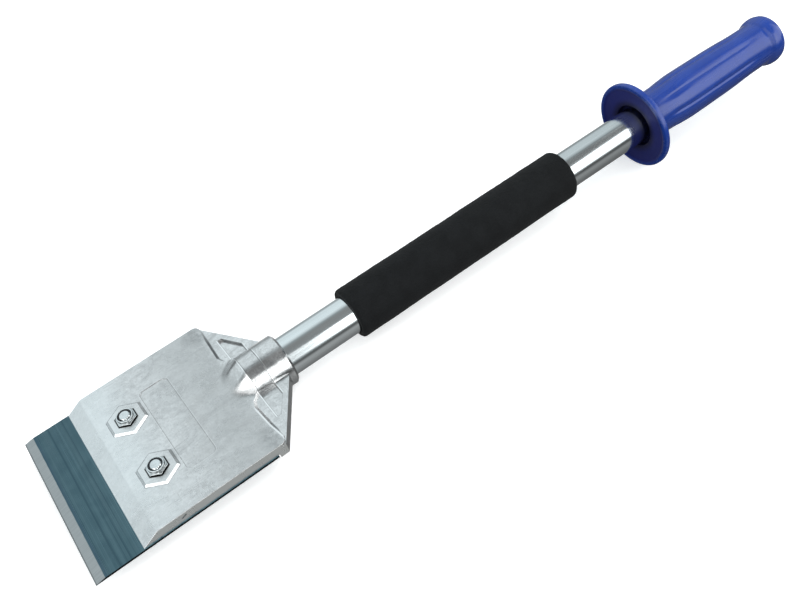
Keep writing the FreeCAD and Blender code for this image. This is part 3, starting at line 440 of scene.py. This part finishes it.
def nylon_material():
    """Dark moulded nylon."""
    m = Mat("dark_nylon")
    m.set(Metallic=0.0, Specular_IOR_Level=0.35)
    mm = m.scaled(1000)
    grain = m.noise(mm, 2.4, 3, 0.6)
    m.base(m.mix(m.span(grain, 0.3, 0.7), (0.012, 0.014, 0.017), (0.022, 0.025, 0.029)))
    m.rough(m.span(grain, 0.3, 0.7, 0.42, 0.55))
    m.bump([(grain, 0.00003, 0.4)])
    return m.m


def floor_material():
    m = Mat("studio_floor")
    m.set(Metallic=0.0, Specular_IOR_Level=0.1, Roughness=0.9)
    n = m.noise(m.scaled(3), 1.0, 2, 0.4)
    m.base(m.mix(m.span(n, 0.3, 0.7), (0.86, 0.86, 0.862), (0.88, 0.88, 0.88)))
    m.b.inputs["Emission Color"].default_value = (1, 1, 1, 1)
    m.b.inputs["Emission Strength"].default_value = FLOOR_GLOW
    return m.m


# ------------------------------------------------------------------ mesh helpers
def new_object(name, verts, faces, mat, smooth=True, sharp=None):
    me = bpy.data.meshes.new(name)
    me.from_pydata([tuple(v) for v in verts], [], [tuple(f) for f in faces])
    me.validate()
    me.update()
    o = bpy.data.objects.new(name, me)
    SCENE.collection.objects.link(o)
    me.materials.append(mat)
    if smooth:
        me.polygons.foreach_set("use_smooth", [True] * len(me.polygons))
        if sharp is not None:
            me.set_sharp_from_angle(angle=math.radians(sharp))
    return o


def rings(rows, start_cap=False, end_cap=False, closed=False):
    """Verts and faces of a skin over rings with the same number of points."""
    n = len(rows[0])
    verts = np.concatenate(rows)
    faces = []
    m = len(rows)
    for i in range(m if closed else m - 1):
        a, b = i * n, ((i + 1) % m) * n
        for k in range(n):
            q = (k + 1) % n
            faces.append((a + k, a + q, b + q, b + k))
    verts = [tuple(v) for v in verts]
    if start_cap:
        verts.append(tuple(np.mean(rows[0], axis=0)))
        c = len(verts) - 1
        faces += [(c, (k + 1) % n, k) for k in range(n)]
    if end_cap:
        verts.append(tuple(np.mean(rows[-1], axis=0)))
        c = len(verts) - 1
        a = (m - 1) * n
        faces += [(c, a + k, a + (k + 1) % n) for k in range(n)]
    return verts, faces


def around_x(x, r, phi, cy, cz):
    """Points round the handle's axis; phi runs from +Z towards -Y."""
    r = np.broadcast_to(r, phi.shape)
    return np.stack([np.full(phi.shape, x), cy - r * np.sin(phi), cz + r * np.cos(phi)], axis=1)


def spline(xs, ys, q):
    """Monotone cubic through (xs, ys) at q."""
    xs, ys, q = map(lambda v: np.asarray(v, float), (xs, ys, q))
    h = np.diff(xs)
    d = np.diff(ys) / h
    m = np.zeros(len(xs))
    m[0], m[-1] = d[0], d[-1]
    for i in range(1, len(xs) - 1):
        if d[i - 1] * d[i] > 0:
            w1, w2 = 2 * h[i] + h[i - 1], h[i] + 2 * h[i - 1]
            m[i] = (w1 + w2) / (w1 / d[i - 1] + w2 / d[i])
    i = np.clip(np.searchsorted(xs, q) - 1, 0, len(xs) - 2)
    t = (q - xs[i]) / h[i]
    return ((1 + 2 * t) * (1 - t) ** 2 * ys[i] + t * (1 - t) ** 2 * h[i] * m[i]
            + t * t * (3 - 2 * t) * ys[i + 1] + t * t * (t - 1) * h[i] * m[i + 1])


def rounded(points, radii, step=10.0):
    """Polyline with its corners rounded: points (u, v), one radius a point (0 leaves it sharp)."""
    out = []
    n = len(points)
    for i in range(n):
        p = np.array(points[i], float)
        r = radii[i]
        if r <= 0 or i == 0 or i == n - 1:
            out.append(p)
            continue
        a, b = np.array(points[i - 1], float) - p, np.array(points[i + 1], float) - p
        la, lb = np.linalg.norm(a), np.linalg.norm(b)
        a, b = a / la, b / lb
        half = math.acos(max(-1.0, min(1.0, float(a @ b)))) / 2
        cut = min(r / math.tan(half), la * 0.49, lb * 0.49)
        r = cut * math.tan(half)
        centre = p + (a + b) / np.linalg.norm(a + b) * (r / math.sin(half))
        p0, p1 = p + a * cut, p + b * cut
        a0 = math.atan2(*(p0 - centre)[::-1])
        a1 = math.atan2(*(p1 - centre)[::-1])
        d = (a1 - a0 + math.pi) % (2 * math.pi) - math.pi
        k = max(2, int(abs(math.degrees(d)) / step))
        for j in range(k + 1):
            t = a0 + d * j / k
            out.append(centre + r * np.array([math.cos(t), math.sin(t)]))
    return out


def value_noise(p, scale, seed):
    """Smooth noise in about -1..1 at points p, the same each run."""
    q = p * scale
    i = np.floor(q).astype(np.int64)
    f = q - i
    f = f * f * (3 - 2 * f)

    def h(a, b, c):
        v = (a * 374761393 + b * 668265263 + c * 2147483647 + seed * 144269) & 0xFFFFFFFF
        v = ((v ^ (v >> 13)) * 1274126177) & 0xFFFFFFFF
        return ((v ^ (v >> 16)) & 0xFFFFFF) / float(0xFFFFFF) * 2 - 1

    out = 0
    for dx in (0, 1):
        for dy in (0, 1):
            for dz in (0, 1):
                w = ((f[:, 0] if dx else 1 - f[:, 0]) * (f[:, 1] if dy else 1 - f[:, 1])
                     * (f[:, 2] if dz else 1 - f[:, 2]))
                out = out + w * h(i[:, 0] + dx, i[:, 1] + dy, i[:, 2] + dz)
    return out


def box_mm(node):
    lo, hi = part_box(node)
    return np.array(lo) / MM, np.array(hi) / MM


# ------------------------------------------------------------------ places, from the frame
tube_lo, tube_hi = box_mm("handle_tube")
AXIS_Y, AXIS_Z = (tube_lo[1] + tube_hi[1]) / 2, (tube_lo[2] + tube_hi[2]) / 2
blade_lo, blade_hi = box_mm("blade")
guard_lo, guard_hi = box_mm("hand_grip")
foam_lo, foam_hi = box_mm("foam_grip")
pin_lo, pin_hi = box_mm("tube_fixing_screw")

FLOOR_GLOW = 0.42
HEX_HIGH = 4.2
GAP_AT, GAP_IN, GAP_OUT = (0.25, -0.27, 0.93), 23.0, 30.0
PANEL, ROOM = 3.2, 1.0

# outlines on the casting, in millimetres
PANEL_BOX = (19.35, 0.0, 8.05, 30.1, 2.3)
WINDOW = (60.2, 69.3, 13.8, 32.8, 21.9, 62.4)
PAD = (19.0, 19.3, 17.2, 10.7)
SIDE = 49.5

GUARD = (guard_lo[0], AXIS_Y, AXIS_Z, (guard_hi[2] - guard_lo[2]) / 2)

M_CAST = cast_material()
M_BLADE = blade_material(blade_lo[0] * MM, (blade_lo[0] + 5.1) * MM)
M_ZINC = zinc_material()
M_TUBE = tube_material()
M_FOAM = foam_material()
M_VINYL = vinyl_material()
M_VINYL_DULL = vinyl_material("blue_vinyl_dull", 0.0, 0.26, 0.28)
M_NYLON = nylon_material()


def dress(node, mat):
    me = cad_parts[node].data
    if len(me.materials) == 0:
        me.materials.append(mat)
    for i in range(len(me.materials)):
        me.materials[i] = mat


for node, mat in (("blade", M_BLADE), ("head_casting", M_CAST), ("blade_nut_left", M_ZINC),
                  ("blade_nut_right", M_ZINC), ("lock_ring_left", M_NYLON),
                  ("lock_ring_right", M_NYLON), ("blade_screw_left", M_ZINC),
                  ("blade_screw_right", M_ZINC), ("handle_tube", M_TUBE),
                  ("tube_fixing_screw", M_ZINC), ("foam_grip", M_FOAM), ("hand_grip", M_VINYL)):
    dress(node, mat)


def finish_piece(o, body, node):
    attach(o, body)
    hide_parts(node)
    return o


# ------------------------------------------------------------------ handle tube
def make_tube():
    n = 160
    phi = np.arange(n) * 2 * math.pi / n
    r1 = (tube_hi[2] - tube_lo[2]) / 2
    r0 = r1 - 1.5
    x0, x1 = tube_lo[0], tube_hi[0]
    prof = rounded([(x0 + 8, r0), (x0, r0), (x0, r1), (x1, r1), (x1, r0), (x0 + 8, r0)],
                   [0, 0.3, 0.4, 0.4, 0.3, 0])[:-1]
    rows = [around_x(p[0] * MM, p[1] * MM, phi, AXIS_Y * MM, AXIS_Z * MM) for p in prof]
    v, f = rings(rows, closed=True)
    return finish_piece(new_object("drawn_tube", v, f, M_TUBE, sharp=40), "handle", "handle_tube")


# ------------------------------------------------------------------ foam sleeve
def make_foam():
    n = 300
    phi = np.arange(n) * 2 * math.pi / n
    r1 = (foam_hi[2] - foam_lo[2]) / 2 - 0.05
    r0 = 11.04
    x0, x1 = foam_lo[0] + 0.1, foam_hi[0] - 0.1
    prof = rounded([(x0 + 9, r0), (x0, r0), (x0, r1), (x1, r1), (x1, r0), (x0 + 9, r0)],
                   [0, 0.8, 2.3, 2.3, 0.8, 0], 8.0)[:-1]
    prof = np.array(prof)
    # divide the long runs
    fine = []
    for i in range(len(prof)):
        a, b = prof[i], prof[(i + 1) % len(prof)]
        k = max(1, int(np.linalg.norm(b - a) / (0.6 if min(a[1], b[1]) > r0 + 0.5 else 12.0)))
        for j in range(k):
            fine.append(a + (b - a) * j / k)
    fine = np.array(fine)
    rows = [around_x(p[0], p[1], phi, AXIS_Y, AXIS_Z) for p in fine]
    pts = np.concatenate(rows)
    rad = np.repeat(fine[:, 1], n)
    out = np.stack([np.zeros(len(pts)), pts[:, 1] - AXIS_Y, pts[:, 2] - AXIS_Z], axis=1)
    out /= np.linalg.norm(out, axis=1)[:, None]
    free = np.clip((rad - r0 - 0.3) / 1.5, 0, 1)
    d = (0.10 * value_noise(pts, 0.09, 3) + 0.075 * value_noise(pts, 0.45, 5)
         + 0.055 * value_noise(pts, 1.1, 7)) * free
    pts = pts + out * (d - 0.12 * free)[:, None]
    pts[:, 0] += 0.10 * value_noise(pts, 0.5, 9) * free * (np.abs(pts[:, 0] - (x0 + x1) / 2) > (x1 - x0) / 2 - 3)
    rows = list((pts * MM).reshape(len(fine), n, 3))
    v, f = rings(rows, closed=True)
    o = finish_piece(new_object("foam_sleeve", v, f, M_FOAM), "handle", "foam_grip")
    return o


# ------------------------------------------------------------------ hand grip
def make_grip():
    n = 288
    phi = np.arange(n) * 2 * math.pi / n
    g0 = guard_lo[0]
    end = guard_hi[0] - g0
    gr = (guard_hi[2] - guard_lo[2]) / 2 - 0.01
    stop = end - 5.5
    # from the bottom of the bore, out over the guard and along the palm to the end
    head = rounded([(stop, 11.04), (5.0, 11.04), (5.0, 13.3), (0.95, 13.3), (0.62, 20.0),
                    (0.55, 23.4), (0.0, 24.6), (0.0, gr), (3.8, gr), (3.8, 24.6), (3.4, 23.4),
                    (3.35, 14.1), (12.0, 13.98)],
                   [0, 0, 0.4, 0.6, 6, 1.2, 1.0, 1.75, 1.75, 1.0, 1.2, 2.6, 0], 9.0)
    s = np.concatenate([np.arange(12.8, 104.0, 0.9), np.arange(104.0, end - 3.2, 0.55)])
    palm = spline([0, 12.0, 17, 23.2, 31, 40.2, 48.2, 66.2, 79.2, 88.2, 95, 101, 105.4, 106.6, 107.8, 109.4, 111.2, 113.2, end - 2.4],
                  [13.98, 13.98, 13.99, 14.15, 14.8, 15.2, 15.15, 14.92, 14.60, 14.15, 13.92, 13.84, 13.86, 14.10, 14.85, 15.50, 15.85, 15.90, 15.55], s)
    tail = rounded([(end - 2.6, 15.62), (end, 14.9), (end, 11.6), (end - 0.7, 10.6), (end - 0.7, 0.4)],
                   [0, 2.2, 0.6, 0.8, 0], 9.0)
    prof = [tuple(p) for p in head] + list(zip(s, palm)) + [tuple(p) for p in tail[1:]]
    rows = []
    for x, r in prof:
        rr = np.full(n, float(r))
        if x >= 12.0 and r > 13.0:
            # eight long panels, gently crowned, parted by narrow creases that fade at both ends
            a = np.clip((x - 13.0) / 16.0, 0, 1)
            b = np.clip((101.0 - x) / 20.0, 0, 1)
            k = (a * a * (3 - 2 * a)) * (b * b * (3 - 2 * b))
            pitch = 2 * math.pi / 8
            u = ((phi - math.radians(30.0) + pitch / 2) % pitch - pitch / 2) * r
            crease = np.exp(-(u / 1.05) ** 2) * 0.55 + np.exp(-(u / 2.6) ** 2) * 0.22
            crown = 0.16 * (np.abs(u) / (pitch * r / 2)) ** 2
            rr = r - k * (crease + crown * 0.5)
        rows.append(around_x((g0 + x) * MM, rr * MM, phi, AXIS_Y * MM, AXIS_Z * MM))
    v, f = rings(rows, start_cap=True, end_cap=True)
    o = new_object("moulded_grip", v, f, M_VINYL, sharp=60)
    o.data.materials.append(M_VINYL_DULL)
    for q in o.data.polygons:
        cx, cy, cz = q.center
        if cx < (g0 + 5.4) * MM and math.hypot(cy - AXIS_Y * MM, cz - AXIS_Z * MM) < 25.0 * MM and \
                (cx < (g0 + 1.6) * MM or math.hypot(cy - AXIS_Y * MM, cz - AXIS_Z * MM) < 13.6 * MM):
            q.material_index = 1
    return finish_piece(o, "handle", "hand_grip")


# ------------------------------------------------------------------ clamp nuts and screws
def hex_radius(theta, af, soft=10):
    """Distance to a hexagon with flats across X, its corners eased a little."""
    h = af / 2
    t = (theta + math.pi / 6) % (math.pi / 3) - math.pi / 6
    a = h / np.cos(t)
    corner = h / math.cos(math.pi / 6) * 0.992
    return np.minimum(a, corner)


def make_nut(side):
    """Locking nut: a chamfered hexagon with a round collar rolled in over the nylon ring."""
    node = "blade_nut_" + side
    lo, hi = box_mm(node)
    rlo, rhi = box_mm("lock_ring_" + side)
    cx, cy = (lo[0] + hi[0]) / 2, (lo[1] + hi[1]) / 2
    z0, z1 = lo[2], hi[2]
    af = hi[0] - lo[0]
    n = 240
    th = np.arange(n) * 2 * math.pi / n
    hexr = hex_radius(th, af)
    rb = af * 0.475
    rows = []

    def ring(r, z):
        r = np.broadcast_to(r, th.shape)
        rows.append(np.stack([(cx + r * np.cos(th)) * MM, (cy + r * np.sin(th)) * MM,
                              np.full(n, z * MM)], axis=1))

    k = 0.045

    def soft_min(a, b):
        return -k * np.log(np.exp(-(a - 5) / k) + np.exp(-(b - 5) / k)) + 5

    hgt = HEX_HIGH
    ring(3.06, z0 + 0.45)
    ring(3.5, z0)
    ring(rb - 0.1, z0)
    zs = np.concatenate([np.linspace(0.02, 0.9, 20), [hgt / 2], np.linspace(hgt - 0.9, hgt - 0.02, 20)])
    for z in zs:
        cone = rb + min(z, hgt - z) * math.sqrt(3.0)
        ring(np.minimum(soft_min(hexr, np.full(n, cone)), hexr), z0 + z)
    turn = rounded([(rb, z0 + hgt), (4.46, z0 + hgt + 0.03), (4.44, z1 - 0.01), (3.78, z1 - 0.01),
                    (3.80, rhi[2] + 0.03), (3.97, rhi[2] + 0.02), (4.0, rlo[2] - 0.02),
                    (3.08, rlo[2] - 0.02), (3.06, z0 + 0.45)],
                   [0, 0.12, 0.30, 0.12, 0.03, 0.03, 0.02, 0.02, 0], 12.0)
    for r, z in turn[:-1]:
        ring(r, z)
    v, f = rings(rows, closed=True)
    return finish_piece(new_object("lock_nut_" + side, v, f, M_ZINC, sharp=26), "handle", node)


def make_lock_ring(side):
    node = "lock_ring_" + side
    lo, hi = box_mm(node)
    cx, cy = (lo[0] + hi[0]) / 2, (lo[1] + hi[1]) / 2
    n = 120
    th = np.arange(n) * 2 * math.pi / n
    ro = (hi[0] - lo[0]) / 2
    prof = rounded([(ro, (lo[2] + hi[2]) / 2), (ro, lo[2]), (3.04, lo[2]), (3.04, hi[2]), (ro, hi[2]),
                    (ro, (lo[2] + hi[2]) / 2)], [0, 0.08, 0.08, 0.22, 0.08, 0], 15.0)[:-1]
    rows = []
    for r, z in prof:
        rows.append(np.stack([(cx + r * np.cos(th)) * MM, (cy + r * np.sin(th)) * MM,
                              np.full(n, z * MM)], axis=1))
    v, f = rings(rows, closed=True)
    return finish_piece(new_object("nylon_ring_" + side, v, f, M_NYLON, sharp=50), "handle", node)


def make_screw(side):
    node = "blade_screw_" + side
    lo, hi = box_mm(node)
    cx, cy = (lo[0] + hi[0]) / 2, (lo[1] + hi[1]) / 2
    z0, z1 = lo[2], hi[2]
    hr = (hi[0] - lo[0]) / 2
    n = 96
    th = np.arange(n) * 2 * math.pi / n
    key = hex_radius(th, 4.0)
    rows = []

    def ring(r, z):
        r = np.broadcast_to(r, th.shape)
        rows.append(np.stack([(cx + r * np.cos(th)) * MM, (cy + r * np.sin(th)) * MM,
                              np.full(n, z * MM)], axis=1))

    ring(key * 0.12, z0 + 2.75)
    ring(key * 0.98, z0 + 2.2)
    ring(key, z0 + 0.25)
    ring(key + 0.25, z0)
    ring(hr - 0.12, z0)
    ring(hr, z0 + 0.12)
    ring(hr, z0 + 0.25)
    ring(3.05, z0 + 0.25 + hr - 3.05)
    ring(2.72, z0 + 3.2)
    # rolled thread, 1 mm pitch
    for z in np.arange(z0 + 3.5, z1 - 0.02, 0.07):
        ph = (z - th / (2 * math.pi)) % 1.0
        tooth = np.clip(1.0 - np.abs(ph - 0.5) / 0.42, 0, 1)
        r = 2.52 + 0.44 * np.minimum(tooth * 1.15, 1.0)
        grow = np.clip((z - z0 - 3.4) / 0.6, 0, 1)
        r = 2.72 * (1 - grow) + r * grow
        limit = 2.96 - max(0.0, z - (z1 - 0.45)) * 1.0
        ring(np.minimum(r, limit), z)
    ring(2.50, z1 - 0.01)
    ring(2.42, z1)
    v, f = rings(rows, start_cap=True, end_cap=True)
    return finish_piece(new_object("threaded_screw_" + side, v, f, M_ZINC, sharp=35),
                        side + "_screw", node)


make_tube()
make_foam()
make_grip()
for side in ("left", "right"):
    make_nut(side)
    make_lock_ring(side)
    make_screw(side)


# ------------------------------------------------------------------ floor
def make_floor():
    """The tool lies on the socket's screw and the rim of the guard, so the floor passes under both."""
    xa, za = (pin_lo[0] + pin_hi[0]) / 2, pin_lo[2] - 0.05
    xb, zb = guard_lo[0] + 1.9, guard_lo[2] - 0.05
    slope = (zb - za) / (xb - xa)
    size, n = 4000.0, 2
    v = []
    for i in range(n):
        for j in range(n):
            x = -size + 2 * size * i
            y = -size + 2 * size * j
            v.append((x * MM, y * MM, (za + slope * (x - xa)) * MM))
    o = new_object("studio_floor", v, [(0, 2, 3, 1)], floor_material(), smooth=False)
    o.visible_glossy = False
    o.visible_diffuse = False


make_floor()


# ------------------------------------------------------------------ light
def make_world():
    """Soft studio surround: a bright ceiling panel with a dark round gap, a pale wall behind and
    dim low corners."""
    w = bpy.data.worlds.new("studio")
    SCENE.world = w
    w.use_nodes = True
    t = w.node_tree
    t.nodes.clear()
    out = t.nodes.new("ShaderNodeOutputWorld")
    tc = t.nodes.new("ShaderNodeTexCoord")
    sep = t.nodes.new("ShaderNodeSeparateXYZ")
    t.links.new(tc.outputs["Generated"], sep.inputs[0])

    def calc(op, a, b=0.0, c=None):
        n = t.nodes.new("ShaderNodeMath")
        n.operation = op
        for i, q in enumerate((a, b, c)):
            if q is None:
                continue
            if isinstance(q, (int, float)):
                n.inputs[i].default_value = q
            else:
                t.links.new(q, n.inputs[i])
        return n.outputs[0]

    def span(v, a, b, lo, hi):
        n = t.nodes.new("ShaderNodeMapRange")
        n.interpolation_type = "SMOOTHSTEP"
        t.links.new(v, n.inputs["Value"])
        for k, q in (("From Min", a), ("From Max", b), ("To Min", lo), ("To Max", hi)):
            n.inputs[k].default_value = q
        return n.outputs[0]

    def ramp(fac, stops, peak):
        n = t.nodes.new("ShaderNodeValToRGB")
        t.links.new(fac, n.inputs["Fac"])
        e = n.color_ramp.elements
        while len(e) > 1:
            e.remove(e[-1])
        for i, (a, g, tint) in enumerate(stops):
            p = min((a + 180.0) / 360.0, 1.0)
            col = (g * tint[0] / peak, g * tint[1] / peak, g * tint[2] / peak, 1.0)
            if i == 0:
                e[0].position, e[0].color = p, col
            else:
                e.new(p).color = col
        return n.outputs["Color"]

    def lamp(col, strength):
        n = t.nodes.new("ShaderNodeBackground")
        t.links.new(col, n.inputs["Color"])
        t.links.new(strength, n.inputs["Strength"])
        return n.outputs[0]

    x, y, z = sep.outputs[0], sep.outputs[1], sep.outputs[2]
    ang = calc("ARCTAN2", z, calc("MULTIPLY", y, -1.0))
    fac = calc("ADD", calc("DIVIDE", ang, 2 * math.pi), 0.5)
    cool = (0.88, 0.97, 1.0)
    warm = (0.98, 1.0, 1.0)
    room = ramp(fac, [(-180, 0.42, cool), (-168, 0.42, cool), (-156, 0.63, warm), (-144, 0.85, warm),
                      (-128, 0.85, warm), (-118, 0.26, warm), (-100, 0.19, warm), (-75, 0.22, warm),
                      (-48, 0.33, warm), (-34, 0.40, warm), (-25, 0.33, warm), (-17, 0.12, warm),
                      (-9, 0.12, warm), (-1, 0.27, cool), (84, 0.27, warm), (97, 0.36, cool),
                      (106, 0.72, cool), (118, 0.97, cool), (134, 0.94, cool), (150, 0.92, cool),
                      (164, 0.90, cool), (172, 0.66, cool), (180, 0.42, cool)], 1.0)
    panel = ramp(fac, [(-180, 0.0, warm), (-2, 0.0, warm), (9, 1.0, warm), (82, 1.0, warm),
                       (94, 0.0, warm), (180, 0.0, warm)], 1.0)
    # the round gap in the panel
    gx, gy, gz = GAP_AT
    gl = math.sqrt(gx * gx + gy * gy + gz * gz)
    near = calc("ADD", calc("ADD", calc("MULTIPLY", x, gx / gl), calc("MULTIPLY", y, gy / gl)),
                calc("MULTIPLY", z, gz / gl))
    gap = span(near, math.cos(math.radians(GAP_OUT)), math.cos(math.radians(GAP_IN)), 1.0, 0.0)
    # weaker beyond the blade, and towards the grip end
    left = calc("ADD", span(x, -0.34, -0.12, 0.27, 1.0), span(x, -0.72, -0.60, 0.45, 0.0))
    # a thin banner hangs across it
    banner = calc("MAXIMUM", span(x, -0.17, -0.07, 1.0, 0.0), span(x, 0.126, 0.141, 0.0, 1.0))
    left = calc("MULTIPLY", left, calc("ADD", calc("MULTIPLY", banner, 0.84), 0.16))
    right = span(x, 0.1, 0.9, 1.0, 0.55)
    # dark low down beyond the blade
    low = span(z, -0.02, 0.16, 1.0, 0.0)
    far = span(x, -0.42, -0.28, 1.0, 0.0)
    dark = calc("SUBTRACT", 1.0, calc("MULTIPLY", calc("MULTIPLY", low, far), 0.88))
    room_light = lamp(room, calc("MULTIPLY", calc("MULTIPLY", right, dark), ROOM))
    panel_light = lamp(panel, calc("MULTIPLY", calc("MULTIPLY", calc("MULTIPLY", gap, left),
                                                    calc("MULTIPLY", right, dark)), PANEL))
    both = t.nodes.new("ShaderNodeAddShader")
    t.links.new(room_light, both.inputs[0])
    t.links.new(panel_light, both.inputs[1])
    seen = t.nodes.new("ShaderNodeBackground")
    seen.inputs["Color"].default_value = (0.98, 0.985, 0.99, 1.0)
    path = t.nodes.new("ShaderNodeLightPath")
    mix = t.nodes.new("ShaderNodeMixShader")
    t.links.new(path.outputs["Is Camera Ray"], mix.inputs[0])
    t.links.new(both.outputs[0], mix.inputs[1])
    t.links.new(seen.outputs[0], mix.inputs[2])
    t.links.new(mix.outputs[0], out.inputs[0])


make_world()


def area(name, place, target, size, watts):
    d = bpy.data.lights.new(name, "AREA")
    d.shape = "DISK"
    d.size = size
    d.energy = watts
    o = bpy.data.objects.new(name, d)
    SCENE.collection.objects.link(o)
    o.location = place
    o.rotation_euler = (Vector(target) - Vector(place)).to_track_quat("-Z", "Y").to_euler()
    o.visible_glossy = False
    return o


area("overhead_panel", (0.95, -0.15, 1.5), (0.22, 0.0, 0.0), 1.4, 16.0)

# ------------------------------------------------------------------ camera
cam = bpy.data.cameras.new("camera")
cam.lens = 40.77
cam.sensor_width = 36.0
cam.clip_start, cam.clip_end = 0.01, 50.0
cam_o = bpy.data.objects.new("camera", cam)
SCENE.collection.objects.link(cam_o)
right = Vector((0.79662, -0.57635, -0.18226))
up = Vector((0.53580, 0.53367, 0.65431))
back = -Vector((0.27985, 0.61889, -0.73394))
cam_o.matrix_world = Matrix(((right.x, up.x, back.x, 0.0141), (right.y, up.y, back.y, -0.3120),
                             (right.z, up.z, back.z, 0.3580), (0, 0, 0, 1)))
SCENE.camera = cam_o
